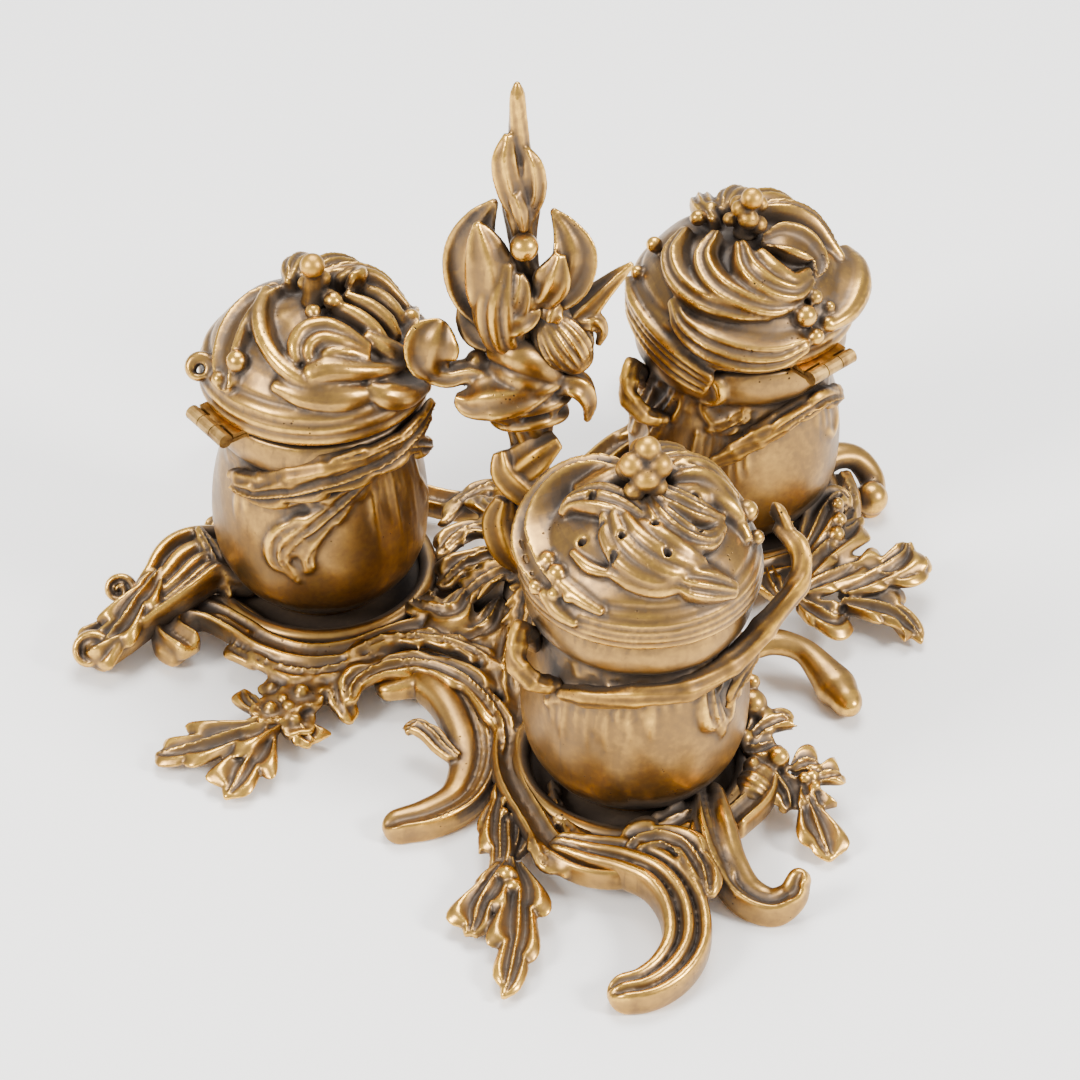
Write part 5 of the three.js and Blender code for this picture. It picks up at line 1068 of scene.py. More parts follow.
seen_lobes = {
    "left": [
        (trough, [(227, 386, 0.6, 3, 2.6), (228, 357, 1, 5, 3), (238, 326, 1, 6, 3.2),
                  (256, 303, 1, 5.4, 3.2), (279, 289, 1, 3, 2.6)]),
        (tongue, [(268, 292, 2, 2, 2.6), (260, 316, 2.2, 2.6, 3.2), (267, 345, 2.2, 2.6, 3.4),
                  (285, 368, 1.8, 2.6, 3.2), (308, 383, 1.2, 2.6, 2.8), (338, 389, 0.8, 2, 2)]),
        (tongue, [(366, 348, 2, 1.8, 2.4), (343, 333, 3, 2.4, 3.2), (323, 326, 3.4, 2.6, 3.4),
                  (303, 332, 3.4, 2.6, 3.4), (295, 348, 3, 2.4, 3.2), (297, 361, 2, 1.6, 2.4)]),
        (tongue, [(366, 353, 2, 1.8, 2.4), (341, 343, 3.2, 2.4, 3.2), (320, 340, 3.6, 2.4, 3.4),
                  (309, 349, 3.4, 2.2, 3.2), (310, 362, 2, 1.6, 2.4)]),
        (tongue, [(366, 358, 2, 1.8, 2.4), (344, 353, 3, 2.2, 3), (327, 355, 3, 2.2, 3),
                  (322, 363, 2, 1.6, 2.2)]),
        (tongue, [(311, 375, 2.6, 3.4, 3.2), (327, 370, 3, 3.8, 3.4), (354, 371, 2.6, 3, 3),
                  (383, 370, 2, 2.2, 2.4), (402, 366, 1, 1.4, 1.6)]),
        (tongue, [(276, 386, 0.4, 2, 2), (305, 396, 0.6, 3.6, 2.6), (343, 398, 0.6, 4, 2.6),
                  (372, 393, 0.4, 2.4, 2)]),
        (tongue, [(371, 388, 1, 2.2, 2.4), (384, 395, 1.6, 3.8, 3.2), (404, 396, 1.6, 3.8, 3.2),
                  (424, 386, 1, 2.4, 2.6)]),
        (tongue, [(334, 306, 3, 1.6, 2.2), (354, 315, 2.6, 2.2, 2.8), (372, 328, 2.2, 2.2, 2.8),
                  (385, 342, 1.4, 1.4, 2)]),
        (tongue, [(346, 297, 3, 1.6, 2.2), (369, 307, 2.6, 2.2, 2.8), (387, 322, 2.2, 2.2, 2.8),
                  (397, 337, 1.4, 1.4, 2)]),
        (tongue, [(355, 289, 3, 1.6, 2.2), (378, 297, 2.6, 2.2, 2.8), (394, 311, 2.2, 2, 2.6),
                  (402, 324, 1.2, 1.4, 2)]),
        (tongue, [(364, 285, 2.6, 1.6, 2.2), (384, 288, 2.4, 2, 2.6), (400, 300, 1.6, 1.6, 2.2)]),
        (tongue, [(366, 338, 1.6, 2, 2.4), (390, 350, 1.6, 3.2, 2.8), (414, 360, 1, 2, 2)]),
    ],
    "right": [
        (two_rolls, [(686, 232, 2, 2, 2.4), (673, 255, 2.6, 3.6, 3.4), (679, 279, 2.6, 4, 3.6),
                     (701, 299, 2.4, 4, 3.4), (733, 311, 2, 3.4, 3), (768, 317, 1, 1.6, 2)]),
        (two_rolls, [(716, 236, 3, 2.2, 2.6), (705, 259, 3.4, 3.8, 3.6), (715, 282, 3.4, 4.4, 3.8),
                     (740, 299, 3, 4.2, 3.6), (771, 308, 2.2, 3.4, 3), (796, 305, 1.2, 1.6, 2)]),
        (two_rolls, [(741, 247, 3.6, 2.6, 3), (748, 270, 4, 4.4, 4), (768, 287, 3.6, 4.6, 4),
                     (793, 293, 2.8, 3.6, 3.4), (810, 281, 1.4, 2, 2.2)]),
        (tongue, [(760, 254, 4, 2, 2.4), (774, 270, 4, 3, 3.2), (792, 281, 3, 2.6, 3),
                  (807, 272, 1.6, 1.6, 2)]),
        (trough, [(768, 243, 2, 3, 3), (784, 242, 3, 6, 4), (803, 249, 2.6, 6.4, 4),
                  (816, 262, 1.6, 4, 3.2), (817, 274, 1, 1.6, 2)]),
        (fluted, [(674, 302, 0.6, 2, 2.2), (684, 325, 0.8, 4, 3), (708, 344, 1, 5.2, 3.4),
                  (743, 356, 1, 5.4, 3.4), (778, 356, 0.8, 4.6, 3), (804, 345, 0.4, 3, 2.4)]),
    ],
    "front": [
        (fluted, [(646, 519, 2.4, 2, 2.4), (623, 505, 3.4, 4.4, 3.6), (597, 498, 3.4, 5.2, 3.6),
                  (572, 504, 2.4, 3, 3), (563, 514, 1, 1.4, 2)]),
        (tongue, [(634, 468, 1.6, 4, 2.6), (606, 478, 2, 5.4, 3), (581, 492, 1.4, 4, 2.6)]),
        (tongue, [(605, 518, 2.4, 1.6, 2.4), (609, 542, 2.4, 2.6, 3.2), (626, 566, 2.2, 2.8, 3.4),
                  (653, 580, 2, 2.8, 3.2), (681, 579, 1, 1.6, 2)]),
        (tongue, [(615, 517, 3, 1.8, 2.6), (623, 539, 3.2, 2.8, 3.6), (644, 560, 3, 3, 3.8),
                  (671, 573, 2.6, 2.8, 3.4), (697, 571, 1.2, 1.6, 2)]),
        (tongue, [(627, 519, 3.2, 2, 2.6), (640, 537, 3.8, 2.8, 3.8), (662, 553, 3.6, 3, 4),
                  (687, 564, 2.6, 2.6, 3.2), (703, 564, 1.4, 1.6, 2)]),
        (tongue, [(642, 525, 3.2, 2, 2.6), (663, 538, 4, 2.8, 3.8), (684, 552, 3.4, 2.6, 3.4),
                  (702, 563, 2, 1.6, 2)]),
        (fluted, [(648, 499, 3, 2.2, 2.6), (663, 520, 4, 4, 4), (684, 536, 3.6, 4.2, 4),
                  (708, 541, 2.4, 3.2, 3), (722, 528, 1.4, 1.8, 2)]),
        (fluted, [(644, 487, 3, 2.2, 2.6), (668, 499, 4, 4, 4), (695, 511, 3.4, 4, 3.6),
                  (720, 520, 1.6, 2, 2.2)]),
        (tongue, [(677, 493, 3, 2.6, 2.8), (699, 496, 2.8, 3.6, 3.2), (719, 504, 1.6, 2.2, 2.2)]),
        (fluted, [(679, 580, 1.4, 3.4, 3), (692, 583, 2, 5, 3.8), (711, 586, 1.8, 5, 3.6),
                  (733, 590, 0.6, 2.8, 2.4)]),
        (tongue, [(614, 575, 0.8, 1.6, 1.8), (633, 582, 1.2, 2.8, 2.6), (657, 587, 1.2, 3, 2.6),
                  (680, 586, 0.8, 2, 2)]),
        (tongue, [(573, 553, 0.4, 1.2, 1.6), (590, 568, 0.6, 1.8, 2), (616, 575, 0.4, 1.2, 1.6)]),
        (tongue, [(556, 578, 1, 1.8, 2), (578, 598, 0.8, 2, 2), (601, 612, 0.4, 1.2, 1.4)]),
        (tongue, [(545, 594, 1, 2, 2), (557, 611, 0.8, 2.2, 2), (575, 624, 0.4, 1.2, 1.4)]),
    ],
}
side_lobes = {
    "left": [
        (trough, [(320, 0.9, 0.5, 0.4, 0.6), (334, 0.86, 0.8, 0.8, 0.8), (350, 0.86, 0.8, 0.8, 0.8),
                  (8, 0.9, 0.4, 0.4, 0.6)]),
        (tongue, [(30, 0.3, 0.8, 0.4, 0.6), (18, 0.42, 1.4, 0.55, 0.8), (4, 0.4, 1.9, 0.5, 0.8),
                  (356, 0.32, 2, 0.35, 0.6)]),
    ],
    "right": [
        (tongue, [(300, 0.97, 0, 0.5, 0.6), (315, 0.99, 0.3, 0.8, 0.9), (332, 0.99, 0.6, 1, 1.1),
                  (350, 0.98, 0.5, 0.8, 1), (8, 0.97, 0.2, 0.5, 0.7)]),
    ],
    "front": [
        (trough, [(206, 0.93, 0.1, 0.4, 0.5), (190, 0.92, 0.3, 0.9, 0.8), (168, 0.9, 0.5, 1.2, 1),
                  (150, 0.84, 0.8, 1.3, 1), (134, 0.7, 1, 1.1, 1), (118, 0.5, 0.9, 0.8, 0.9),
                  (102, 0.3, 0.6, 0.5, 0.7)]),
        (tongue, [(0, 0.27, 0.6, 0.35, 0.5), (350, 0.45, 0.8, 0.6, 0.7), (342, 0.66, 0.8, 0.7, 0.8),
                  (338, 0.76, 0.6, 0.4, 0.6)]),
    ],
}
back_lobe = [(0, 0.27, 0.9, 0.4, 0.6), (-26, 0.45, 1.2, 0.9, 0.85), (-42, 0.63, 1.1, 0.95, 0.85),
             (-60, 0.85, 0.4, 0.4, 0.4)]
back_turns = {"left": [62, 94, 126], "right": [50, 86, 118, 150], "front": [34, 62, 92]}
fringe_lobe = [(14, 0.27, 0.8, 0.35, 0.6), (10, 0.42, 1.2, 0.5, 0.85), (2, 0.58, 1.2, 0.5, 0.8),
               (-12, 0.78, 0.5, 0.3, 0.5)]
fringe_turns = {"left": [12], "right": [], "front": [352, 12]}
lid_berries = {
    "left": [(205, 27.5, 3.2, 3.2), (198, 31.5, 1.4, 2.2), (346, 27, 4.4, 2.4), (353, 31.6, 3.6, 2.2)],
    "right": [(287, 30, 3, 3.4), (298, 27.6, 2.6, 2.4), (290, 33, -0.4, 2.6), (300, 32, 0, 2.4),
              (306, 30, 1.4, 1.8), (160, 26, 3.4, 2.5), (166, 30.6, 1.4, 2.2), (152, 14, 5.6, 2.5),
              (128, 12, 5.4, 2.2)],
    "front": [(350, 28, 3.6, 3.2), (342, 30.6, 1.4, 2.2)],
}
seen_berries = {"left": [(313, 312, 4, 2.4), (333, 301, 4.4, 2.8)],
                "front": [(548, 560, 1.6, 2.4), (557, 573, 1.6, 2.6), (536, 587, 1, 2.2),
                          (554, 594, 1, 1.9), (569, 597, 1, 1.8)]}
hole_axes = round_pot("front", [(angle, share * mouth_radius, 0) for angle, share in pounce_holes])[:, :2]


def drill(rows):
    """Sinks a narrow straight cup at each hole: a point goes down by the depth times a bell curve of
    the eighth power of its distance from the hole's axis in hole radii."""
    for x, y in hole_axes:
        gap = np.hypot(rows[..., 0] - x, rows[..., 1] - y)
        rows[..., 2] -= hole_depth * np.exp(-(gap / hole_radius) ** 8)
    return rows


def lid_rows(about):
    """The lid as rings. Its rim is a slope with rolls, each a root of a sine of the height, and the
    dome has soft dents: two sines of the angle and the radius."""
    rolls, depth = rim_rolls[about]
    height = np.linspace(0, rim_height, 64)
    rim = (np.interp(height, [0, 4, 8, rim_height], [31.9, 32.3, 31.6, 29.6])
           + depth * np.abs(np.sin(np.pi * rolls * height / rim_height)) ** 0.6)
    crown = np.stack([crown_radius, np.interp(crown_radius, dome_radius, dome_height)], 1)
    profile = np.concatenate([lid_inside[about == "front"], np.stack([rim, height], 1), crown])
    turn = np.linspace(0, 2 * np.pi, 320, endpoint=False)
    rows = turned_rows(profile, centre_of[about] + [0, 0, lid_foot[about]], len(turn))
    outside = (np.arange(len(profile)) > len(lid_inside[about == "front"]) + 50)[:, None]
    radius = profile[:, :1]
    dents = 0.2 * np.sin(5 * turn + 0.4 * radius) + 0.12 * np.sin(11 * turn - 0.3 * radius)
    rows[..., 2] += outside * dents * np.clip(radius / 20, 0, 1)
    if about == "front":
        rows[outside[:, 0]] = drill(rows[outside[:, 0]])
    return rows


ring_spot, ring_sizes = (181, 33.4, 2.4), (3.8, 0.4, 1.5)
skirt_rows = [(160, 33, 87, 3, 1.4), (178, 33.3, 86, 5, 1.6), (198, 33.5, 84, 5.6, 1.7),
              (216, 33.6, 80.5, 5.6, 1.7), (228, 33.7, 78, 5, 1.7), (235, 33.7, 76.4, 4.2, 1.6)]
skirt_ridges = moulded([(-0.75, 0.22, 0.9), (-0.25, 0.22, 1), (0.25, 0.2, 0.9), (0.72, 0.26, 1)], -0.2)
lid_names = {"left": ("inkwell_left_lid", "left_lid"), "right": ("inkwell_right_lid", "right_lid"),
             "front": ("pounce_pot_cover", "pounce_cover")}
for about, (node_name, body) in lid_names.items():
    forms = [lid_rows(about)]
    forms += [lobe(about, at_lid(about, pixels), section) for section, pixels in seen_lobes[about]]
    forms += [lobe(about, by_share(about, shares), section) for section, shares in side_lobes[about]]
    forms += [lobe(about, by_share(about, back_lobe, turn), fluted) for turn in back_turns[about]]
    forms += [lobe(about, by_share(about, fringe_lobe, turn), tongue, 50) for turn in fringe_turns[about]]
    if about in seen_berries:
        forms += berries(at_lid(about, seen_berries[about]))
    forms += berries(on_lid(about, lid_berries[about]))
    if about == "left":
        forms.append(volute(on_lid(about, [ring_spot])[0, :3], *ring_sizes))
    if about == "right":
        forms.append(carried(round_pot(about, skirt_rows), skirt_ridges, 90, away_from(about)))
    if about == "front":
        forms[1:] = [drill(rows) for rows in forms[1:]]
    cast(node_name + "_casting", forms, old_gilding, body, [node_name], grain=0.55)


# The finials: berries heaped on a short stalk
# Small castings screwed through the crowns of the lids, and what one takes hold of to lift them.

finial_berries = {
    "left": [(250, 1.6, 13.8, 3.6), (20, 2.8, 7, 2.7), (120, 3.4, 5, 2.3), (330, 4.6, 3, 2.2)],
    "right": [(270, 3.6, 14.7, 3.3), (256, 4.6, 8.4, 3.1), (217, 3.8, 10.9, 2.6), (110, 3.6, 8.2, 2.9),
              (300, 4.4, 5.4, 2.8), (20, 4.6, 8.6, 2.6), (180, 5, 6, 2.2)],
    "front": [(0, 0.8, 15.6, 3.6), (80, 3.8, 12.4, 3.6), (196, 3.8, 12, 3.6), (262, 4, 9, 3.9),
              (322, 4, 11.6, 3.8), (20, 4.6, 8.3, 3.5), (140, 4.6, 7.6, 3.3), (226, 5.6, 5.6, 2.9),
              (296, 5.2, 6, 3)],
}
stalk_tall = {"left": 12.4, "right": 13.2, "front": 15.4}
stalk_profile = np.array([(0.1, 0.01), (0.95, 0.01), (1, 0.06), (0.9, 0.15), (0.74, 0.35), (0.62, 0.7),
                          (0.6, 0.9), (0.4, 0.98), (0.1, 1)])
for about, (node_name, body) in lid_names.items():
    foot = centre_of[about] + [0, 0, lid_foot[about] + crown_height]
    forms = [turned_rows(stalk_profile * [3.9, stalk_tall[about]], foot, 40)]
    for angle, radius, height, size in finial_berries[about]:
        spot = round_pot(about, [(angle, radius, foot[2] + height, 0, 0)])[0, :3]
        forms.append(berry(spot, size))
        stem_line = np.vstack([[*foot[:2], foot[2] + 0.3 * height, 1.6, 1.6], [*spot, 1.2, 1.2]])
        forms.append(carried(stem_line, thin_tube, 8, (0.1, 1, 0.2)))
    cast(pot_nodes[about] + "_berries", forms, dark_gilding, body, [pot_nodes[about] + "_finial"])


# The flowering stem in the middle
# Several castings drawn down on the hub by a rod: a spiral-leaved shaft, a knotted collar with an
# arm, a neck between two blossoms, and a slender bud on top.

def on_stem(rows):
    """Stations in the upright plane of the stem, from rows of x, depth and height measured from the
    middle of the pots, and the two sizes."""
    return np.asarray(rows, float) + [*middle[:2], 0, 0, 0]


def in_front(rows):
    """Stations on the camera's rays. The third number is how far, level with the desk, the station
    stands in front of the stem's foot, and the other columns are kept."""
    rows = np.asarray(rows, float)
    ray = rays(rows)
    facing = unit(back * [1, 1, 0])
    far = (rows[:, 2] - (eye * 1000 - stem_foot) @ facing) / (ray @ facing)
    return np.hstack([eye * 1000 + far[:, None] * ray, rows[:, 3:]])


def petal(rows, cup=0.0, over=None, flutes=2):
    """A plain petal of the stem, from rows of pixel, depth and the two sizes. It faces the writer."""
    return leaf(in_front(rows), 1, 0, cup, 0.1, towards_eye if over is None else over, flutes, 70, 40)


def ribbed(ribs, depth, points=72, twist=0.0, count=1):
    """Sections with ribs: a circle cut in between its ribs by a cosine, turned along the way."""
    turn = np.linspace(0, 2 * np.pi, points, endpoint=False)
    u = np.linspace(0, 1, count)[:, None]
    reach = 1 - depth * (1 - np.abs(np.cos(ribs * (turn + twist * u) / 2)) ** 0.8)
    return np.stack([reach * np.cos(turn), reach * np.sin(turn)], -1)


def stem_body(rows, section, count=70):
    """A section carried up the stem."""
    return carried(on_stem(rows), section, count, (0, 1, 0))


towards_eye = tuple(back)
leaf_fold = -0.2
shaft_core = [(-6.4, 5, 9, 12, 12), (-6.6, 5, 15, 9.4, 9.4), (-7, 5.1, 25, 6.6, 6.6),
              (-7.4, 5.2, 36, 6, 6), (-7.8, 5.3, 47, 7, 7), (-8.2, 5.4, 57, 6, 6),
              (-8.6, 5.5, 65, 6.3, 6.3)]
foot_leaf_count, foot_leaf_turn = 5, -8
foot_leaf = [(4, 17, 4, 2.2), (10, 20, 6.6, 2.4), (17, 16, 7.2, 2.2), (22.5, 10, 2, 1.4)]
shaft_leaves = [
    [(558, 438, 6, 3, 2.4), (538, 452, 8, 5.4, 3), (516, 470, 7, 5.4, 3), (505, 492, 5, 2.4, 2)],
    [(502, 450, 5, 3, 2.4), (508, 470, 8, 5.4, 3), (528, 490, 9, 5.4, 3), (550, 508, 6, 2.4, 2)],
    [(558, 476, 6, 3, 2.4), (549, 498, 7, 5.4, 3), (530, 520, 8, 5.4, 3), (512, 542, 6, 2.4, 2)],
    [(505, 498, 6, 3, 2.4), (500, 522, 7, 5.4, 2.8), (508, 550, 8, 5, 2.6), (520, 570, 6, 2, 2)],
]
shaft_forms = [stem_body(shaft_core, ribbed(5, 0.28, twist=5.5, count=90), 90)]
for k in range(foot_leaf_count):
    turn = np.radians(360 / foot_leaf_count * (k + 0.5) + foot_leaf_turn)
    rows = [(stem_x + math.cos(turn) * reach, stem_y + math.sin(turn) * reach, *sizes)
            for reach, *sizes in foot_leaf]
    shaft_forms.append(leaf(on_stem(rows), 6))
shaft_forms += [petal(rows, leaf_fold) for rows in shaft_leaves]
cast("stem_shaft_casting", shaft_forms, dark_gilding, "stand", ["stem_shaft"])

collar_core = [(-8.6, 5.5, 65.4, 6, 6), (-8.8, 5.6, 72, 6.6, 6.6), (-9, 5.6, 80, 8, 8),
               (-9.4, 5.7, 88, 9.2, 9.2), (-9.7, 5.8, 94, 8.8, 8.8), (-9.9, 5.8, 98.3, 6.6, 6.6)]
collar_folds = [
    [(496, 350, 4, 3.6, 3.4), (515, 353, 8, 4.8, 4.2), (536, 363, 8, 4.8, 4.2), (556, 378, 5, 3, 3)],
    [(496, 370, 5, 3.2, 3), (520, 376, 9, 4.2, 3.8), (546, 385, 7, 3.4, 3)],
]
collar_petals = [
    ([(438, 374, 4, 3, 2.2), (431, 360, 5, 7, 2.4), (434, 340, 4, 7.6, 2.4), (440, 326, 2, 4, 2),
      (443, 320, 1, 1.2, 1.4)], 0.3),
    ([(430, 366, 4, 5, 2.4), (447, 374, 4, 4, 2.6), (470, 371, 5, 3.6, 2.8), (498, 378, 6, 5, 3),
      (522, 384, 6, 6, 3)], -0.1),
    ([(552, 384, 7, 3, 2.6), (520, 392, 11, 6.4, 3), (488, 397, 12, 6.8, 2.8), (468, 401, 10, 4.6, 2.4),
      (455, 398, 9, 1.6, 1.6)], leaf_fold, (0, -0.7, 0.7)),
    ([(498, 384, 8, 5, 2.8), (508, 404, 11, 7, 2.8), (518, 420, 9, 3, 2.2)], leaf_fold),
    ([(538, 388, 8, 4, 2.8), (548, 402, 8, 4.8, 2.6), (551, 414, 7, 2, 2)], leaf_fold),
    ([(550, 388, 5, 3, 2.4), (568, 381, 6, 4.4, 2.8), (583, 386, 6, 4.8, 2.8), (591, 402, 5, 3.6, 2.2),
      (587, 421, 4, 0.9, 1.3)], leaf_fold, (0.4, -0.5, 0.75)),
    ([(536, 360, -6, 4, 2.8), (548, 350, -12, 6, 3), (556, 352, -16, 4, 2.4)], 0),
]
collar_berries = [(477, 360, 2, 3.2)]
collar_rings = [(80, 9.4), (86, 10.2), (92, 9.8)]
ring_x, ring_y, ring_wave = -9.4, 5.7, 1.6
collar_forms = [stem_body(collar_core, ribbed(7, 0.2, twist=2.4, count=80), 80)]
collar_forms += [carried(in_front(rows), thin_tube, 50, towards_eye) for rows in collar_folds]
collar_forms += [petal(*row) for row in collar_petals] + berries(in_front(collar_berries))
for height, radius in collar_rings:
    ring = np.linspace(0, 2 * np.pi, 15)
    rows = np.stack([ring_x + radius * np.cos(ring), ring_y + radius * np.sin(ring),
                     height + ring_wave * np.sin(2 * ring + height), 0 * ring + 2.4, 0 * ring + 2], 1)
    collar_forms.append(carried(on_stem(rows), thin_tube, 80))
cast("stem_collar_casting", collar_forms, old_gilding, "stand", ["stem_collar"])

neck_core = [(-9.9, 5.8, 98.8, 6, 6), (-10.3, 5.9, 108, 5.8, 5.8), (-10.7, 5.9, 118, 5.2, 5.2),
             (-11, 6, 128, 4.4, 4.4), (-11.4, 6, 135, 3.9, 3.9)]
neck_petals = [
    ([(564, 326, 3, 5, 3), (582, 309, 3, 4.6, 2.8), (602, 290, 2, 3.2, 2.4), (620, 274, 1, 2, 1.8),
      (633, 263, 0, 0.8, 1.1)], leaf_fold),
    ([(580, 322, 4, 2.8, 2.2), (594, 321, 5, 3, 2.2), (602, 331, 4, 2, 1.8), (598, 345, 3, 0.9, 1.2)],
     leaf_fold),
    ([(538, 300, 3, 5, 2.4), (562, 282, 4, 7, 2.6), (573, 254, 3, 6.4, 2.4), (566, 230, 1, 4, 2),
      (552, 209, 0, 0.9, 1.3)], 0.35, (-0.1, -1, 0.3)),
    ([(538, 304, 7, 4, 2.4), (551, 282, 9, 5.4, 2.4), (560, 254, 7, 1.6, 1.6)], leaf_fold),
]
neck_berries = [(524, 247, 7, 4.1), (528, 300, 7, 3.4)]
neck_forms = [stem_body(neck_core, ribbed(5, 0.25, twist=3, count=70))]
neck_forms += [petal(*row) for row in neck_petals] + berries(in_front(neck_berries))
cast("stem_neck_casting", neck_forms, old_gilding, "stand", ["stem_neck"])

tulip_petals = [
    ([(500, 326, -1, 4, 2.6), (475, 292, -2, 7, 2.6), (468, 256, -3, 7, 2.6), (480, 224, -2, 5, 2.2),
      (496, 200, -1, 1, 1.3)], 0.2),
    ([(500, 330, 6, 4, 2.8), (493, 297, 9, 7.2, 2.8), (489, 264, 8, 6.6, 2.6), (482, 238, 6, 4, 2.2),
      (477, 222, 5, 1, 1.3)], -0.25),
    ([(503, 332, 7, 3, 2.4), (514, 306, 10, 4.4, 2.4), (519, 286, 9, 3.2, 2), (520, 273, 8, 1, 1.3)],
     leaf_fold),
    ([(496, 328, 8, 2.8, 2.2), (512, 322, 11, 4.4, 2.4), (528, 315, 9, 3.8, 2.2), (541, 309, 8, 1.2, 1.5)],
     leaf_fold),
    ([(500, 344, 0, 4, 2.6), (481, 331, -1, 5.4, 2.6), (468, 316, -1, 3.8, 2.2), (460, 303, -2, 0.9, 1.3)],
     leaf_fold),
]
tulip_core = [(-15, 4, 103, 4, 4), (-18.5, 2, 112, 7, 7), (-19.5, 2, 123, 7, 7), (-17.5, 2, 133, 3, 3)]
tulip_forms = [petal(*row) for row in tulip_petals] + [stem_body(tulip_core, ribbed(9, 0.2), 40)]
cast("stem_left_tulip_casting", tulip_forms, old_gilding, "stand", ["stem_left_tulip"])

blossom_core = [(541, 310, 4, 2.4, 2.4), (547, 318, 4, 5.8, 5), (556, 330, 4, 8.6, 7),
                (567, 345, 4, 8.8, 7.4), (576, 358, 3, 5.6, 5.4)]
blossom_petal = [(548, 322, 9, 3, 2), (552, 312, 8, 4, 2.2), (560, 304, 6, 1.4, 1.6)]
blossom_forms = [carried(in_front(blossom_core), ribbed(22, 0.22), 70, towards_eye),
                 petal(blossom_petal, leaf_fold)]
cast("stem_right_blossom_casting", blossom_forms, old_gilding, "stand", ["stem_right_blossom"])

bud_core = [(-11.5, 6, 135.6, 3.9, 3.9), (-11.8, 6.1, 141, 4.4, 4.4), (-12.2, 6.2, 150, 5.6, 5.6),
            (-12.5, 6.3, 158, 4.8, 4.8), (-12.8, 6.3, 166, 3.4, 3.4), (-13.1, 6.4, 176, 2.7, 2.7),
            (-13.4, 6.5, 184, 2.2, 2.2), (-13.5, 6.5, 187.2, 1, 1)]
bud_petals = [
    [(524, 226, 3, 2.2, 1.8), (510, 192, 5, 3.6, 2.2), (504, 160, 5, 3.4, 2.2), (508, 134, 3, 1.2, 1.4)],
    [(526, 222, 3, 2, 1.8), (535, 192, 4, 3.2, 2.2), (533, 166, 4, 2.8, 2), (526, 148, 3, 1, 1.4)],
    [(514, 194, 6, 1.8, 1.6), (520, 212, 7, 2.2, 1.8), (524, 232, 6, 1.2, 1.4)],
]
bud_forms = [stem_body(bud_core, ribbed(6, 0.24, twist=2.2, count=90), 90)]
bud_forms += [petal(rows, leaf_fold) for rows in bud_petals]
cast("stem_top_bud_casting", bud_forms, old_gilding, "stand", ["stem_top_bud"])


# The hinges, screws, rod and nut
# Drawn brass, filed and left ungilt where it turns: two leaves, their knuckles and a pin on each
# inkwell, a screw under each pot, and the rod and nut that draw the stem down.

drawn_brass, brass_tree, brass_skin = bare_finish("drawn_brass")
brass_skin.inputs["Metallic"].default_value = 1.0
brass_node = partial(shader_node, brass_tree)
brass_place = brass_node("ShaderNodeTexCoord")["Object"]
tarnish = brass_node("ShaderNodeTexNoise", {"Vector": brass_place, "Scale": 260.0, "Detail": 6.0})["Fac"]
brass_colour = tone_ramp(brass_tree, tarnish, [(0.3, (0.16, 0.085, 0.03)), (0.66, (0.58, 0.36, 0.11))])
brass_dull = brass_node("ShaderNodeMapRange", {"Value": tarnish, "To Min": 0.62, "To Max": 0.3})["Result"]
brass_bump = brass_node("ShaderNodeBump", {"Height": tarnish, "Strength": 0.25, "Distance": 0.0002})
for made, socket in ((brass_colour, "Base Color"), (brass_dull, "Roughness"),
                     (brass_bump["Normal"], "Normal")):
    brass_tree.links.new(made, brass_skin.inputs[socket])

fastener_names = ["stem_rod", "stem_nut", "pounce_pot_screw"]
for prefix in ("inkwell_left", "inkwell_right"):
    fastener_names += [prefix + "_" + part for part in (
        "screw", "hinge_pot_leaf", "hinge_lid_leaf", "hinge_pin")]
for name in fastener_names:
    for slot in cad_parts[name].material_slots:
        slot.link = "OBJECT"
        slot.material = drawn_brass


# The toning and painted shade of the whole inkstand
# Two centuries of rubbing have kept the gilding bright on crests, and brown wax and dust lie in the
# hollows. Open faces are painted bright and places where metal crowds in front are painted dark, as
# painted shade. Each casting gets an attribute of wear and painted shade, which the gilding reads.

cube, blurred_cells, margin, spare_cells = 2.5, 3, 20, 12
crowd_looks = ((3, 0.4), (6, 0.35), (10, 0.25))
crest_reach, least_rounds, most_rounds = 1.6, 4, 24
open_tone, crest_gain, least_crest, most_crest = 0.66, 1.8, -0.3, 0.15
crowd_loss, free_crowd, most_crowd = 1.1, 0.14, 0.7
hole_reach, under_dome = 1.05, 90


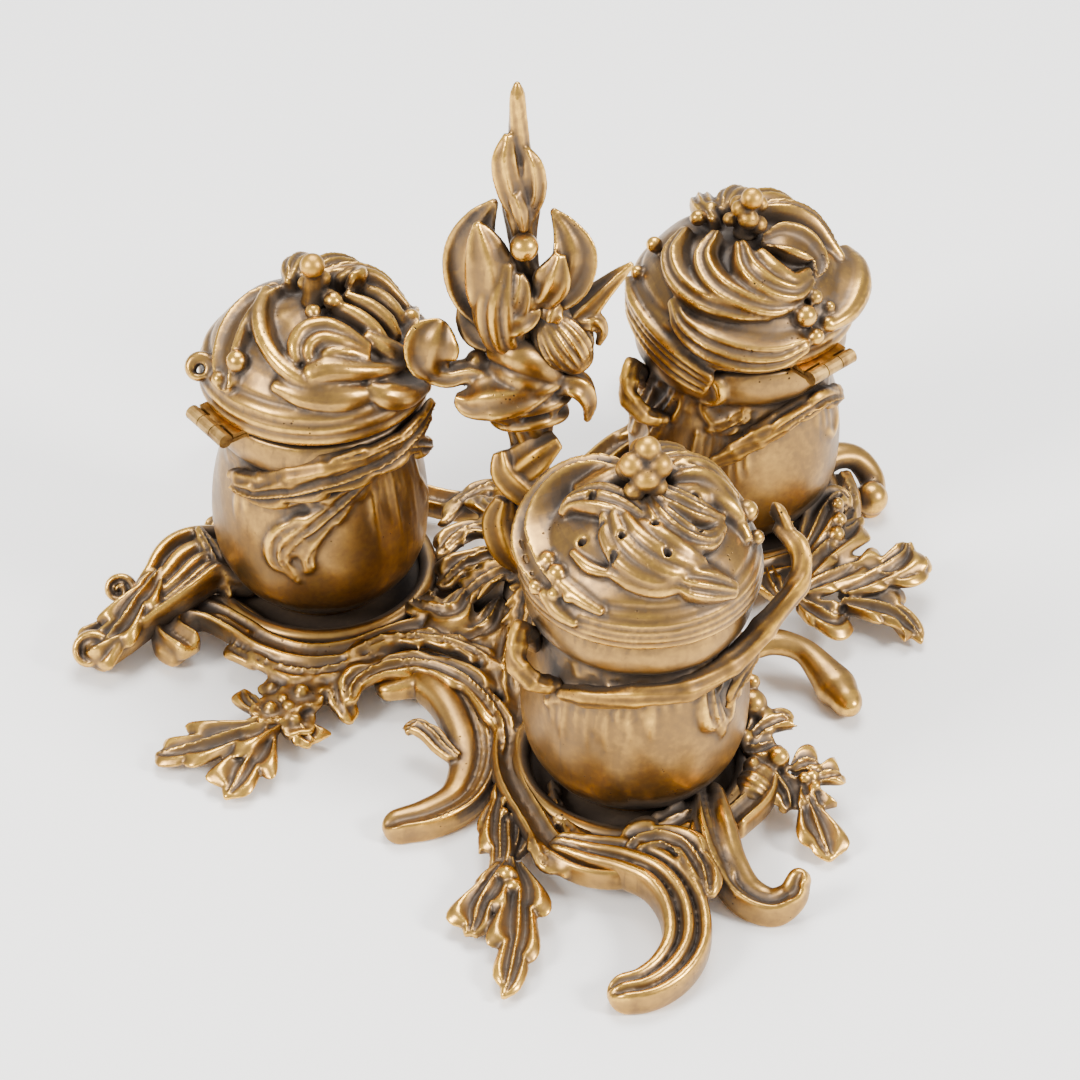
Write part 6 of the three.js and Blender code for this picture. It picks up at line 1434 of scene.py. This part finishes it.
def crowding_for_shade(casts):
    """For each point, crowding is how much metal stands in front of it, and it darkens the point's colour
    as painted shade. The metal is counted in cubes of 2.5 mm, blurred by one cube, and read at 3, 6 and 10
    mm out along the normal."""
    places = np.concatenate([c for c, n in casts])
    low = places.min(0) - margin
    cell = ((places - low) / cube).astype(int)
    size = cell.max(0) + spare_cells
    count = np.zeros(size)
    count[tuple(cell.T)] = 1
    for axis in range(3):
        count = (count + np.roll(count, 1, axis) + np.roll(count, -1, axis)) / blurred_cells
    result = []
    for c, n in casts:
        crowd = 0
        for reach, share in crowd_looks:
            spot = np.clip(((c + n * reach - low) / cube).astype(int), 0, size - 1)
            crowd = crowd + share * count[tuple(spot.T)]
        result.append(crowd)
    return result


def crests(places, normals, edges, rounds):
    """How far each point stands out from the mean of its neighbours, after so many rounds of
    meaning, along its normal: above zero on a crest and below in a groove."""
    return ((places - meaned(places, edges, rounds)) * normals).sum(1)


measured = []
for casting in castings:
    mesh = casting.data
    places = np.empty(len(mesh.vertices) * 3, np.float32)
    normals = np.empty(len(mesh.vertices) * 3, np.float32)
    mesh.vertices.foreach_get("co", places)
    mesh.vertices.foreach_get("normal", normals)
    measured.append((places.reshape(-1, 3).astype(float) * 1000, normals.reshape(-1, 3).astype(float)))
for casting, (places, normals), crowd in zip(castings, measured, crowding_for_shade(measured)):
    mesh = casting.data
    edges = mesh_numbers(mesh)[1]
    step = np.linalg.norm(places[edges[:, 0]] - places[edges[:, 1]], axis=1).mean()
    rounds = int(min(most_rounds, max(least_rounds, (crest_reach / step) ** 2)))
    crest = crests(places, normals, edges, rounds)
    # Lighter on rubbed crests, as wear; darker where metal crowds in front, as painted shade together with
    # dirt in the hollows.
    wear_and_shade = (open_tone + crest_gain * np.clip(crest, least_crest, most_crest)
            - crowd_loss * np.clip(crowd - free_crowd, 0, most_crowd))
    # The pounce holes are only shallow cups, so their insides are painted darkest: painted shade of open
    # holes.
    if casting.name == "pounce_pot_cover_casting":
        for x, y in hole_axes:
            gap = np.hypot(places[:, 0] - x, places[:, 1] - y)
            wear_and_shade[(gap < hole_reach) & (places[:, 2] > under_dome)] = 0
    tone = mesh.attributes.new("wear_and_shade", "FLOAT", "POINT")
    tone.data.foreach_set("value", np.clip(wear_and_shade, 0, 1).astype(np.float32))
